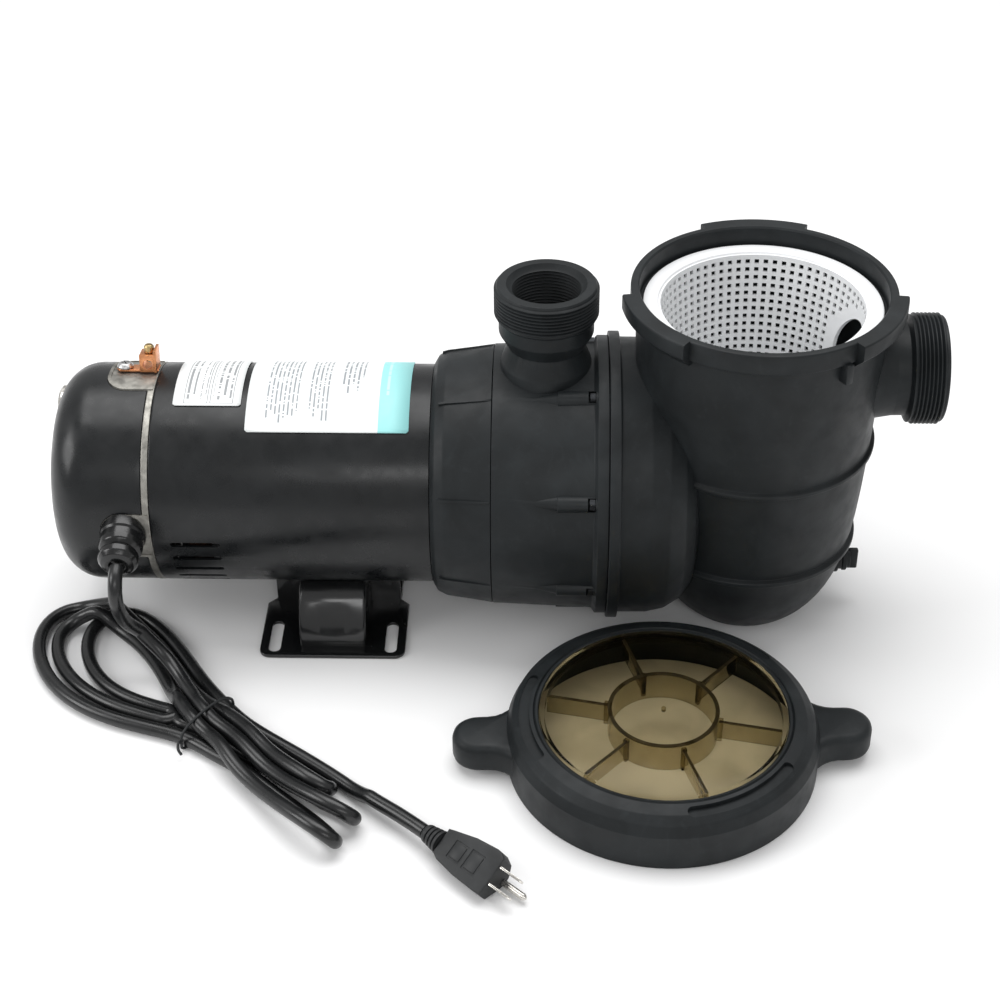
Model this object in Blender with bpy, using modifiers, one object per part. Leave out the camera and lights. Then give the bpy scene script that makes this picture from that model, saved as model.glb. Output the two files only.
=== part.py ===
"""Swimming pool pump: a motor, a volute with a discharge port, and a strainer pot with its basket.

The threaded lid lies on the floor in front of the pot, and the mains cord is folded into a tied hank.
Lengths are in millimetres and become metres in the helpers. +X runs along the motor axis towards the
suction port, +Y away from the lid and +Z up. The origin is the centre of the motor foot's underside.
"""

import math

import bmesh
import bpy
from mathutils import Matrix, Vector

MM = 0.001
GAP = 0.4                    # between touching pieces
WIDE, NARROW = 36, 20        # faces round a large and a small turned piece
UP = Vector((0, 0, 1))
ALONG = Vector((1, 0, 0))

# Motor
AXIS_HEIGHT = 107.0          # motor axis above the floor
SHELL_RADIUS = 79.4
SHELL_WALL = 2.0
SHELL_LEFT, SHELL_RIGHT = -121.2, 74.1
BAND_LEFT, BAND_RIGHT = -126.4, -121.6
COVER_LEFT = -209.0
COVER_CORNER = 28.0
BOSS_TOP = 80.4              # radius of the two pads on the rear end frame
BOSS_TIP = -156.8
PAD_ANGLE, PAD_HALF, PAD_CORNER = -8.5, 25.0, 15.0      # degrees from the top towards the front
PORT_ANGLE, PORT_HALF, PORT_CORNER = 91.6, 18.4, 14.0
SHAFT_RADIUS = 8.2
BEARING_BORE, BEARING_OUTER = 8.5, 20.0
REAR_BEARING, FRONT_BEARING = -124.5, 70.0
BOLT_CIRCLE = 72.0
BOLT_START = 30.0            # degrees, of the first through bolt

# Foot
FOOT_HALF_X, FOOT_HALF_Y = 53.3, 85.0
FOOT_PLATE = 2.6
FOOT_NECK_X, FOOT_NECK_Y = 46.5, 22.0
HUMP_HALF = 24.5
SLOT_X, SLOT_Y = 42.6, 63.2
SLOT_WIDTH, SLOT_LENGTH = 8.6, 34.0

# Wet end
PLATE_LEFT, SEAM = 74.5, 117.4
FLANGE_LEFT, FLANGE_RIGHT, FLANGE_RADIUS = 198.9, 206.8, 104.3
RIB_COUNT = 8
RIB_START = 22.5
CASING_BOLT_CIRCLE = 96.6
DISCHARGE_X, DISCHARGE_TOP = 154.6, 266.1
SUCTION_HEIGHT, SUCTION_END = 199.9, 430.9
THREAD_BORE = 24.1
PORT_BORE = 20.5
EYE_RADIUS = 28.4

# Strainer pot, basket and drain
POT_X = 303.2
RIM_TOP, RIM_INSIDE, RIM_OUTSIDE = 264.6, 85.1, 91.2
LUG_RADIUS, LUG_BOTTOM, LUG_HALF_ANGLE = 98.0, 250.4, 23.0
LUG_ANGLES = (90, 210, 330)
POT_WALL = 4.5
BASKET_SEAT = 249.2
DRAIN_HEIGHT = 32.0
DRAIN_PITCH = 2.0

# Lid
LID_X, LID_Y = 236.0, -183.0
LID_TURN = 3.2               # degrees, of the ears about the lid's centre
LID_RADIUS = 106.0
LENS_OPENING = 84.3
EAR_REACH, EAR_HALF = 143.0, 17.5

# Cord
CORD_RADIUS = 5.0
GLAND_BASE = Vector((-141.0, -79.0, 107.8))
GLAND_TILT = 12.0            # degrees below the horizontal
DROP_ROUTE = [
    (-141, -109.7, 101.3), (-141, -116.9, 98.4), (-141, -121.9, 92.2), (-141, -124, 84.6),
    (-141, -122.7, 76.9),
    (-140.5, -118.4, 65.8), (-138.5, -113, 55), (-134.5, -107.5, 45.5), (-128.5, -103.5, 37),
    (-120.5, -102, 30.5), (-111, -103.5, 26.3),
]
PLUG_ROUTE = [
    (38.4, -235.4, 9.6), (48.5, -244, 10.2), (58.5, -252.3, 10.9), (66, -259, 11.5), (73.5, -265.9, 12.1),
    (79, -271, 12.3),
]
HANK_OUTLINE = [
    (-67, -136), (-85, -117), (-107, -80), (-125, -54), (-144, -38), (-165, -28), (-186, -23), (-206, -29),
    (-220, -44), (-225, -62), (-222, -84), (-213, -106), (-198, -127), (-178, -145), (-152, -161),
    (-116, -172),
    (-87, -188), (-57, -210), (-20, -238), (12, -264), (27, -280), (38, -283), (45, -272), (46, -259),
    (41, -248), (34.2, -239.7), (42, -230.6), (35, -217), (14, -203), (-10, -188), (-38, -168),
]
HANK_HOLE = [
    (-165, -56), (-174, -67), (-176, -82), (-170, -102), (-156, -124), (-138, -140), (-116, -146),
    (-97, -146),
    (-104, -130), (-124, -106), (-145, -84), (-157, -68),
]
HANK_TOP = 21.4
FOLD_OUTLINE = [(-8, -226), (14, -208), (36, -222), (40, -230.6), (32, -240.5), (40, -250), (43, -259),
                (42, -271), (36, -279), (27, -276), (8, -255)]
FOLD_TOP = 42.0              # top of the cord's folds at the hank's right end
# Plug, in a frame whose X points out of its face and whose Z is normal to the face above the blades
PLUG_AT = Vector((126.0, -311.5, 14.7))
PLUG_TURN, PLUG_ROLL = -42.6, 32.0
BLADE_SPACING, PIN_DROP = 12.7, 11.9


# Helpers ------------------------------------------------------------------------------------------

def clear_scene():
    for item in list(bpy.data.objects):
        bpy.data.objects.remove(item, do_unlink=True)


def collection(name):
    made = bpy.data.collections.new(name)
    bpy.context.scene.collection.children.link(made)
    return made


clear_scene()
PARTS = collection("pool_pump")
CUTTERS = collection("pool_pump_cutters")
CUTTERS.hide_render = True


def material(name, colour, roughness, metallic=0.0, alpha=1.0):
    made = bpy.data.materials.new(name)
    made.use_nodes = True
    shader = made.node_tree.nodes["Principled BSDF"]
    shader.inputs["Base Color"].default_value = (*colour, 1.0)
    shader.inputs["Roughness"].default_value = roughness
    shader.inputs["Metallic"].default_value = metallic
    shader.inputs["Alpha"].default_value = alpha
    return made


BLACK_PAINT = material("black_paint", (0.012, 0.012, 0.013), 0.35)
GLOSS_PAINT = material("gloss_paint", (0.008, 0.008, 0.008), 0.18)
CAST_METAL = material("cast_metal", (0.45, 0.44, 0.41), 0.5, 1.0)
STEEL = material("steel", (0.55, 0.55, 0.56), 0.3, 1.0)
COPPER = material("copper", (0.85, 0.42, 0.22), 0.3, 1.0)
BRASS = material("brass", (0.75, 0.6, 0.3), 0.3, 1.0)
LABEL = material("label", (0.85, 0.87, 0.86), 0.5)
PLASTIC = material("charcoal_plastic", (0.022, 0.025, 0.027), 0.55)
GLAND_PLASTIC = material("gland_plastic", (0.01, 0.01, 0.01), 0.25)
WHITE_PLASTIC = material("white_plastic", (0.85, 0.85, 0.84), 0.4)
SMOKED = material("smoked_plastic", (0.25, 0.2, 0.09), 0.05, 0.0, 0.4)
RUBBER = material("rubber", (0.02, 0.02, 0.02), 0.6)
CERAMIC = material("ceramic", (0.85, 0.83, 0.78), 0.3)
CORD_JACKET = material("cord_jacket", (0.01, 0.01, 0.011), 0.25)


def show(item, name, finish, cutter):
    """Names an object, gives it its material and links it with the parts or the cutters."""
    item.name = name
    if cutter:
        item.hide_render = True
        item.display_type = "WIRE"
        CUTTERS.objects.link(item)
    else:
        item.data.materials.append(finish)
        PARTS.objects.link(item)
    return item


def mesh_object(name, builder, finish=None, cutter=False):
    """An object from a bmesh, whose sizes are in millimetres."""
    mesh = bpy.data.meshes.new(name)
    bmesh.ops.recalc_face_normals(builder, faces=builder.faces)
    bmesh.ops.scale(builder, vec=(MM, MM, MM), verts=builder.verts)
    builder.to_mesh(mesh)
    builder.free()
    mesh.shade_smooth()
    mesh.set_sharp_from_angle(angle=math.radians(35))
    return show(bpy.data.objects.new(name, mesh), name, finish, cutter)


def aim(axis):
    return UP.rotation_difference(Vector(axis)).to_matrix().to_4x4()


def place(item, centre, axis=UP):
    item.matrix_world = Matrix.Translation(Vector(centre) * MM) @ aim(axis)
    return item


def turned(name, profile, centre, axis, finish=None, steps=WIDE, cutter=False):
    """A turned solid: profile holds (distance along the axis, radius), as a loop or ending on the axis."""
    points = [(radius, along) for along, radius in profile]
    area = sum(a[0] * b[1] - b[0] * a[1] for a, b in zip(points, points[1:] + points[:1]))
    if area > 0:
        points.reverse()
    on_axis = [abs(x) < 1e-6 for x, _ in points]
    open_ended = any(on_axis)
    if open_ended:
        start = next(i for i, on in enumerate(on_axis) if on and on_axis[i - 1])
        points = points[start:] + points[:start]
    mesh = bpy.data.meshes.new(name)
    count = len(points)
    edges = [(i, i + 1) for i in range(count - 1)] + ([] if open_ended else [(count - 1, 0)])
    mesh.from_pydata([(x * MM, 0, z * MM) for x, z in points], edges, [])
    item = show(bpy.data.objects.new(name, mesh), name, finish, cutter)
    screw = item.modifiers.new("turn", "SCREW")
    screw.steps = screw.render_steps = steps
    screw.use_merge_vertices = True
    screw.merge_threshold = 0.00001
    screw.use_smooth_shade = False
    return place(item, centre, axis)


def rod(name, radius, start, end, centre, axis, finish=None, steps=24, cutter=False, tip=None):
    """A cylinder, or a cone when tip is given, from start to end along an axis through centre."""
    builder = bmesh.new()
    bmesh.ops.create_cone(builder, cap_ends=True, segments=steps, radius1=radius,
                          radius2=radius if tip is None else tip, depth=end - start)
    bmesh.ops.translate(builder, vec=(0, 0, (start + end) / 2), verts=builder.verts)
    return place(mesh_object(name, builder, finish, cutter), centre, axis)


def block(name, low, high, finish=None, cutter=False, bevel=0.0, segments=2):
    """A box between two corners, with rounded edges when bevel is given."""
    builder = bmesh.new()
    size = Vector(high) - Vector(low)
    bmesh.ops.create_cube(builder, size=1.0)
    bmesh.ops.scale(builder, vec=size, verts=builder.verts)
    bmesh.ops.translate(builder, vec=(Vector(high) + Vector(low)) / 2, verts=builder.verts)
    item = mesh_object(name, builder, finish, cutter)
    if bevel:
        soften(item, bevel, segments)
    return item


def soften(item, width, segments=2):
    """Rounds the sharp edges of an object."""
    bevel = item.modifiers.new("round", "BEVEL")
    bevel.width = width * MM
    bevel.segments = segments
    bevel.limit_method = "ANGLE"
    bevel.angle_limit = math.radians(40)
    return item


def sheet(name, outlines, low, high, finish=None, cutter=False, frame=None):
    """A flat piece from closed outlines, the first its edge and the others holes, between two heights."""
    curve = bpy.data.curves.new(name, "CURVE")
    curve.dimensions = "2D"
    curve.fill_mode = "BOTH"
    curve.extrude = (high - low) / 2 * MM
    for outline in outlines:
        line = curve.splines.new("POLY")
        line.points.add(len(outline) - 1)
        for point, (x, y) in zip(line.points, outline):
            point.co = (x * MM, y * MM, 0, 1)
        line.use_cyclic_u = True
    item = bpy.data.objects.new(name, curve)
    bpy.context.scene.collection.objects.link(item)
    graph = bpy.context.evaluated_depsgraph_get()
    mesh = bpy.data.meshes.new_from_object(item.evaluated_get(graph))
    bpy.data.objects.remove(item)
    builder = bmesh.new()
    builder.from_mesh(mesh)
    bmesh.ops.remove_doubles(builder, verts=builder.verts, dist=1e-6)
    bmesh.ops.scale(builder, vec=(1 / MM,) * 3, verts=builder.verts)
    bmesh.ops.translate(builder, vec=(0, 0, (low + high) / 2), verts=builder.verts)
    made = mesh_object(name, builder, finish, cutter)
    if frame is not None:
        made.matrix_world = frame
    return made


def wire(name, points, radius, finish, resolution=2):
    """A round cord along a smooth curve through its route's points."""
    curve = bpy.data.curves.new(name, "CURVE")
    curve.dimensions = "3D"
    curve.bevel_depth = radius * MM
    curve.bevel_resolution = resolution
    curve.use_fill_caps = True
    line = curve.splines.new("POLY")
    smooth = smooth_route(points)
    line.points.add(len(smooth) - 1)
    for point, place_at in zip(line.points, smooth):
        point.co = (*(place_at * MM), 1)
    return show(bpy.data.objects.new(name, curve), name, finish, False)


def smooth_route(points, per_span=1):
    """Catmull-Rom points through a route."""
    route = [Vector(p) for p in points]
    padded = [2 * route[0] - route[1]] + route + [2 * route[-1] - route[-2]]
    smooth = []
    for a, b, c, d in zip(padded, padded[1:], padded[2:], padded[3:]):
        for step in range(per_span):
            t = step / per_span
            smooth.append(0.5 * (2 * b + (c - a) * t + (2 * a - 5 * b + 4 * c - d) * t ** 2
                                 + (3 * b - a - 3 * c + d) * t ** 3))
    return smooth + [route[-1]]


def boolean(item, other, operation):
    step = item.modifiers.new(operation.lower(), "BOOLEAN")
    step.operation = operation
    step.solver = "EXACT"
    step.object = other
    return item


def cut(item, *others):
    for other in others:
        boolean(item, other, "DIFFERENCE")
    return item


def join(item, *others):
    for other in others:
        boolean(item, other, "UNION")
    return item


def rounded(half_length, half_width, steps=8):
    """A stadium outline, with its long side along X."""
    reach = half_length - half_width
    ends = []
    for centre, first in ((reach, -90), (-reach, 90)):
        for step in range(steps + 1):
            angle = math.radians(first + 180 * step / steps)
            ends.append((centre + half_width * math.cos(angle), half_width * math.sin(angle)))
    return ends


def arc(centre, radius, first, last, steps):
    """Points (x, y) on an arc, with its angles in degrees."""
    angles = [math.radians(first + (last - first) * i / steps) for i in range(steps + 1)]
    return [(centre[0] + radius * math.cos(a), centre[1] + radius * math.sin(a)) for a in angles]


def on_axis(x=0.0):
    return (x, 0, AXIS_HEIGHT)


def outward(angle):
    """The direction out of the motor axis, at degrees from the top towards the front."""
    return Vector((0, -math.sin(math.radians(angle)), math.cos(math.radians(angle))))


def radial_frame(x, angle):
    """A frame on the motor axis whose Z points outward and whose X runs along the motor."""
    return Matrix.Translation(Vector(on_axis(x)) * MM) @ Matrix.Rotation(math.radians(angle), 4, "X")


# Motor --------------------------------------------------------------------------------------------

TABS = (("pad", PAD_ANGLE, PAD_HALF, PAD_CORNER), ("port", PORT_ANGLE, PORT_HALF, PORT_CORNER))


def boss_outline(half, corner, grow=0.0):
    """A tab that runs from the band to a tip with round corners."""
    end = BAND_RIGHT - 1.0
    side = half - corner
    return ([(end, -half - grow), (end, half + grow)]
            + arc((BOSS_TIP + corner, side), corner + grow, 90, 180, 6)
            + arc((BOSS_TIP + corner, -side), corner + grow, 180, 270, 6))


def motor_shell():
    shell = turned("motor_shell", [(SHELL_LEFT, SHELL_RADIUS), (SHELL_RIGHT, SHELL_RADIUS),
                                   (SHELL_RIGHT, SHELL_RADIUS - SHELL_WALL),
                                   (SHELL_LEFT, SHELL_RADIUS - SHELL_WALL)],
                   on_axis(), ALONG, BLACK_PAINT, WIDE)
    for side in (1, -1):
        for row in range(5):
            angle = side * (96.4 + 10.1 * row)
            slot = sheet(f"vent_{row}_{'front' if side > 0 else 'back'}", [rounded(17.5, 2.1, 4)], 70, 90,
                         cutter=True, frame=radial_frame(-91.5, angle))
            cut(shell, slot)


def rear_end_frame():
    frame = turned("rear_end_frame", [(BAND_LEFT, SHELL_RADIUS), (BAND_RIGHT, SHELL_RADIUS),
                                      (BAND_RIGHT, 64), (BAND_LEFT, 64)], on_axis(), ALONG, CAST_METAL, WIDE)
    hub = turned("rear_hub", [(-133, 26), (-116, 26), (-116, 20.4), (-133, 20.4)], on_axis(), ALONG,
                 steps=NARROW, cutter=True)
    join(frame, hub)
    for turn in (0, 90):
        for side in (1, -1):
            spoke = block(f"spoke_{turn}_{side}", (BAND_LEFT + 0.3, -6, 24), (BAND_RIGHT - 0.3, 6, 66),
                          cutter=True)
            angle = 45 + turn if side > 0 else 225 + turn
            spoke.matrix_world = radial_frame(0, angle)
            join(frame, spoke)
    for name, angle, half, corner in TABS:
        tab = sheet(f"{name}_tab", [boss_outline(half, corner)], 60, 95, cutter=True,
                    frame=radial_frame(0, angle))
        skin = turned(f"{name}_skin", [(BOSS_TIP - 5, BOSS_TOP), (BAND_RIGHT - 0.8, BOSS_TOP),
                                       (BAND_RIGHT - 0.8, 75.5), (BOSS_TIP - 5, 75.5)],
                      on_axis(), ALONG, steps=WIDE, cutter=True)
        boolean(skin, tab, "INTERSECT")
        join(frame, skin)
    for index in range(4):
        cut(frame, rod(f"rear_hole_{index}", 3.0, -130, -118, bolt_centre(index), ALONG, cutter=True,
                       steps=12))
    cut(frame, rod("lug_hole", 2.6, 60, 90, (-146, 0, AXIS_HEIGHT), outward(PAD_ANGLE), cutter=True,
                   steps=12))
    cut(frame, rod("cord_hole", 11.0, 60, 90, (-141, 0, AXIS_HEIGHT), outward(PORT_ANGLE), cutter=True))


def bolt_centre(index):
    return Vector(on_axis()) + outward(BOLT_START + 90 * index) * BOLT_CIRCLE


def end_cover():
    corner = SHELL_RADIUS - 0.2 - COVER_CORNER
    outer = [(COVER_LEFT, 0)] + [
        (COVER_LEFT + COVER_CORNER * (1 - math.cos(a)), corner + COVER_CORNER * math.sin(a))
        for a in (math.radians(18 * i) for i in range(6))] + [(BAND_LEFT - GAP, SHELL_RADIUS - 0.2)]
    wall = 1.6
    bend = COVER_CORNER - wall
    inner = [(COVER_LEFT + wall, 0)] + [
        (COVER_LEFT + COVER_CORNER - bend * math.cos(a), corner + bend * math.sin(a))
        for a in (math.radians(22.5 * i) for i in range(5))] + [(BAND_LEFT - GAP, SHELL_RADIUS - 0.2 - wall)]
    cover = turned("end_cover", outer + inner[::-1], on_axis(), ALONG, BLACK_PAINT, WIDE)
    for name, angle, half, corner in TABS:
        cut(cover, sheet(f"{name}_notch", [boss_outline(half, corner, GAP)], 60, 95, cutter=True,
                         frame=radial_frame(0, angle)))


def front_end_frame():
    frame = turned("front_end_frame", [(66, 77.0), (73.9, 77.0), (73.9, 40), (77.4, 30), (77.4, 20.4),
                                       (62, 20.4), (62, 26), (66, 30)], on_axis(), ALONG, CAST_METAL, NARROW)
    for index in range(4):
        cut(frame, rod(f"front_hole_{index}", 3.0, 60, 80, bolt_centre(index), ALONG, cutter=True, steps=12),
            rod(f"front_window_{index}", 9.0, 60, 80,
                Vector(on_axis()) + outward(BOLT_START + 45 + 90 * index) * 54, ALONG, cutter=True,
                steps=16))


def through_bolts():
    for index in range(4):
        turned(f"through_bolt_{index + 1}", [(-131.4, 0), (-131.4, 4.2), (-126.8, 4.2), (-126.8, 2.5),
                                             (73.6, 2.5), (73.6, 0)], bolt_centre(index), ALONG, STEEL, 8)


def bearings():
    for name, x in (("rear", REAR_BEARING), ("front", FRONT_BEARING)):
        turned(f"{name}_bearing_outer", [(x - 6, BEARING_OUTER), (x + 6, BEARING_OUTER), (x + 6, 16.8),
                                         (x - 6, 16.8)], on_axis(), ALONG, STEEL, NARROW)
        balls = [(x + dx, r) for dx, r in arc((0, 14.0), 2.4, 0, 180, 3)]
        turned(f"{name}_bearing_inner", [(x - 6, BEARING_BORE), (x - 6, 12)] + balls[::-1]
               + [(x + 6, 12), (x + 6, BEARING_BORE)], on_axis(), ALONG, STEEL, NARROW)


def stator():
    core = turned("stator_core", [(-80, 76.8), (20, 76.8), (20, 40.5), (-80, 40.5)], on_axis(), ALONG, STEEL,
                  NARROW)
    for index in range(4):
        cut(core, rod(f"stator_hole_{index}", 3.3, -90, 30, bolt_centre(index), ALONG, cutter=True,
                      steps=12))
    for name, first, last in (("rear", -106, -80.4), ("front", 20.4, 46)):
        turned(f"stator_winding_{name}", [(first, 50), (first + 7, 66), (last - 7, 66), (last, 62),
                                          (last, 48), (first + 5, 43)],
               on_axis(), ALONG, COPPER, NARROW)


def rotor():
    turned("motor_shaft", [(-150, 0), (-150, 7), (-148, SHAFT_RADIUS), (150, SHAFT_RADIUS), (152, 7),
                           (152, 0)],
           on_axis(), ALONG, STEEL, 24)
    turned("rotor_core", [(-84, 30), (-84, 39.9), (24, 39.9), (24, 30), (18, 8.5), (-78, 8.5)],
           on_axis(), ALONG, STEEL, NARROW)
    fan = turned("cooling_fan", [(50, 8.5), (50, 60), (52, 60), (52, 14), (60, 14), (60, 8.5)], on_axis(),
                 ALONG, WHITE_PLASTIC, NARROW)
    for index in range(8):
        blade = block(f"fan_blade_{index}", (51, -1, 13), (58, 1, 58), cutter=True)
        blade.matrix_world = radial_frame(0, 45 * index)
        join(fan, blade)


def capacitor():
    turned("run_capacitor", [(-196, 0), (-196, 15), (-194, 17), (-150, 17), (-148, 15), (-148, 0)],
           (0, 12, AXIS_HEIGHT + 46), ALONG, STEEL, 24)
    block("terminal_board", (-172, -44, AXIS_HEIGHT - 34), (-168, 30, AXIS_HEIGHT + 22), PLASTIC, bevel=2)


def wrapped_label(name, x_low, x_high, top, bottom, radius):
    """A thin label round the shell, between two angles from the top towards the front."""
    rows = 12
    builder = bmesh.new()
    bmesh.ops.create_grid(builder, x_segments=1, y_segments=rows, size=0.5)
    for vertex in builder.verts:
        angle = top + (bottom - top) * (vertex.co.y + 0.5)
        spot = outward(angle) * radius
        vertex.co = (x_low + (x_high - x_low) * (vertex.co.x + 0.5), spot.y, spot.z + AXIS_HEIGHT)
    item = mesh_object(name, builder, LABEL)
    thick = item.modifiers.new("thickness", "SOLIDIFY")
    thick.thickness = 0.3 * MM
    thick.offset = 0


def ground_lug():
    frame = radial_frame(0, PAD_ANGLE)
    lug = block("ground_lug", (-153.5, -5, BOSS_TOP + GAP), (-121.5, 5, BOSS_TOP + GAP + 1.4), COPPER)
    lug.matrix_world = frame
    saddle = block("lug_saddle", (-134.5, -6.5, BOSS_TOP + GAP + 0.4), (-121.5, 6.5, 94), cutter=True)
    saddle.matrix_world = frame
    channel = rod("wire_channel", 3.6, -20, 20, (-128, 0, 86.8), (0, 1, 0), cutter=True, steps=16)
    channel.matrix_world = frame @ channel.matrix_world
    join(lug, saddle)
    cut(lug, channel)
    for name, x, radius in (("lug_screw_hole", -146, 2.6), ("clamp_screw_hole", -128, 3.2)):
        hole = rod(name, radius, BOSS_TOP - 3 if x < -140 else 86.8, 99, (x, 0, 0), UP, cutter=True,
                   steps=16)
        hole.matrix_world = frame @ hole.matrix_world
        cut(lug, hole)
    seat = BOSS_TOP + GAP + 1.4 + GAP
    screw = turned("lug_mount_screw", [(72, 0), (72, 2.2), (seat, 2.2), (seat, 5.9), (seat + 2, 5.9),
                                       (seat + 3.4, 4.4), (seat + 3.6, 0)], (0, 0, 0), UP, STEEL, 20)
    screw.matrix_world = frame @ Matrix.Translation(Vector((-146, 0, 0)) * MM)
    clamp = turned("wire_clamp_screw", [(88, 0), (88, 2.8), (94.4, 2.8), (94.4, 3.6), (98.5, 3.6),
                                        (100, 2.6), (100, 0)], (0, 0, 0), UP, BRASS, 16)
    clamp.matrix_world = frame @ Matrix.Translation(Vector((-128, 0, 0)) * MM)


def foot_profile(offset):
    """The side outline (y, z) of the hump that carries the shell; offset makes its hollow."""
    under = SHELL_RADIUS + 0.4 + offset
    top = [(y, AXIS_HEIGHT - math.sqrt(under ** 2 - y ** 2)) for y in (-50 + offset, -40, -30, -19)]
    front = [(-74 + offset, -2 if offset else 1), (-72.5 + offset, 12), (-67.5 + offset, 24),
             (-60 + offset, 35)]
    return front + top + [(-19, -2 if offset else 1)]


def motor_foot():
    corner = 8
    outline = []
    for sx, sy, first in ((1, 1, 0), (-1, 1, 90), (-1, -1, 180), (1, -1, 270)):
        turn = arc((sx * (FOOT_HALF_X - corner), sy * (FOOT_HALF_Y - corner)), corner, first, first + 90, 4)
        notch = [(sx * FOOT_HALF_X, sy * (FOOT_NECK_Y + 2)), (sx * (FOOT_NECK_X + 0.6),
                                                              sy * (FOOT_NECK_Y - 4))]
        outline += (notch[::-1] + turn) if first in (0, 180) else (turn + notch)
    slots = [[(x + sx * SLOT_X, y + sy * SLOT_Y) for y, x in rounded(SLOT_LENGTH / 2, SLOT_WIDTH / 2, 6)]
             for sx in (1, -1) for sy in (1, -1)]
    foot = sheet("motor_foot", [outline] + slots, 0, FOOT_PLATE, GLOSS_PAINT)
    for side in (1, -1):
        web = block(f"foot_web_{side}", (-FOOT_NECK_X, -FOOT_NECK_Y + 2.2, 1),
                    (FOOT_NECK_X, -FOOT_NECK_Y + 4.8, 29.2), cutter=True)
        spin = Matrix.Rotation(math.pi if side < 0 else 0, 4, "Z")
        web.matrix_world = spin
        lean = spin @ Matrix(((0, 0, 1, 0), (1, 0, 0, 0), (0, 1, 0, 0), (0, 0, 0, 1)))
        hump = sheet(f"foot_hump_{side}", [foot_profile(0)], -HUMP_HALF, HUMP_HALF, cutter=True, frame=lean)
        hollow = sheet(f"foot_hollow_{side}", [foot_profile(2.8)], -HUMP_HALF + 2.8, HUMP_HALF - 2.8,
                       cutter=True, frame=lean)
        join(foot, web, hump)
        cut(foot, hollow)


def cord_gland():
    axis = Vector((0, -math.cos(math.radians(GLAND_TILT)), -math.sin(math.radians(GLAND_TILT))))
    body = turned("gland_body", [(-12, 0), (-12, 16.3), (9, 16.3), (15, 15.2), (18.6, 12), (18.6, 0)],
                  GLAND_BASE, axis, GLAND_PLASTIC, NARROW)
    cut(body, rod("gland_seat", BOSS_TOP + GAP, -180, -100, on_axis(), ALONG, cutter=True, steps=WIDE))
    turned("gland_nut", [(19, 0), (19, 13.2), (21, 14.1), (25, 14.1), (28.6, 11.8), (30, 8.4), (30, 0)],
           GLAND_BASE, axis, GLAND_PLASTIC, NARROW)


# Wet end ------------------------------------------------------------------------------------------

def rib_angles():
    return [RIB_START + 360 / RIB_COUNT * index for index in range(RIB_COUNT)]


def seal_plate():
    plate = turned("seal_plate", [
        (PLATE_LEFT, 73), (PLATE_LEFT, 81), (77.5, 86.2), (84, 89.4), (SEAM - 0.2, 94.3), (SEAM - 0.2, 89.4),
        (106, 88.4), (106, 24), (109, 24), (109, 19.4), (103.8, 19.4), (103.8, 12), (98, 12), (98, 28),
        (101, 30), (101, 78), (80, 78)], on_axis(), ALONG, PLASTIC, WIDE)
    for index, angle in enumerate(rib_angles()):
        ridge = block(f"plate_ridge_{index}", (84, -1.1, 86), (SEAM - 0.6, 1.1, 94.9), cutter=True)
        ridge.matrix_world = radial_frame(0, angle)
        join(plate, ridge)
    cut(plate, turned("plate_groove", [(SEAM - 2.5, 90.4), (SEAM - 2.5, 93.4), (SEAM + 2, 93.4),
                                       (SEAM + 2, 90.4)],
                      on_axis(), ALONG, steps=WIDE, cutter=True))
    torus("seal_plate_oring", 91.9, 1.1, (SEAM - 1.35, 0, AXIS_HEIGHT), ALONG, RUBBER)


def torus(name, radius, thickness, centre, axis, finish, steps=WIDE):
    profile = [(x, r) for x, r in arc((0, radius), thickness, 0, 360, 4)[:-1]]
    return turned(name, profile, centre, axis, finish, steps)


def shaft_seal():
    turned("seal_seat_ring", [(104.2, 9.4), (104.2, 19), (108, 19), (109.6, 14), (109.6, 9.4)], on_axis(),
           ALONG, CERAMIC, NARROW)
    turned("seal_rotary_head", [(110, 8.6), (110, 13.5), (113, 13.5), (113, 17), (122, 17), (122, 8.6)],
           on_axis(), ALONG, RUBBER, NARROW)


def impeller():
    body = turned("impeller", [(122.4, 8.6), (122.4, 14), (125, 62), (128, 62), (130, 16), (149, 13),
                               (149, 8.6)],
                  on_axis(), ALONG, PLASTIC, WIDE)
    shroud = turned("impeller_shroud", [(141, 62), (143.5, 62), (149, 27), (152, 27), (152, 24), (146, 24),
                                        (141, 40)],
                    on_axis(), ALONG, steps=WIDE, cutter=True)
    join(body, shroud)
    for index in range(5):
        path = [(15 + 9.2 * step, math.radians(11 * step)) for step in range(6)]
        outline = [((r + side) * math.cos(a), (r - side) * math.sin(a) + 1.2 * side)
                   for side in (-1, 1) for r, a in path[::side]]
        frame = Matrix.Translation(Vector(on_axis()) * MM) @ Matrix.Rotation(math.radians(72 * index), 4,
            "X") \
            @ Matrix(((0, 0, 1, 0), (1, 0, 0, 0), (0, 1, 0, 0), (0, 0, 0, 1)))
        join(body, sheet(f"vane_{index}", [outline], 126.6, 141.9, cutter=True, frame=frame))


def diffuser():
    ring = turned("diffuser", [(126, 68), (126, 72), (157, 72), (160, 68), (160, 30), (190, 27.8),
                               (222, 27.8),
                               (222, 25), (156.5, 28), (156.5, 66), (154, 68)], on_axis(), ALONG, PLASTIC,
                  WIDE)
    for index in range(8):
        window = block(f"diffuser_window_{index}", (129, -9, 60), (150, 9, 80), cutter=True)
        window.matrix_world = radial_frame(0, 45 * index)
        cut(ring, window)


def port_profile(top, lip, band, neck, throat):
    """(height, radius) of a threaded port, down from its lip."""
    return [(top, 0), (top, lip), (top - 23.5, lip - 0.5), (top - 25.5, neck), (top - 36, neck),
            (top - 47, throat), (top - 48 - band, throat), (top - 48 - band, 0)]


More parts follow.
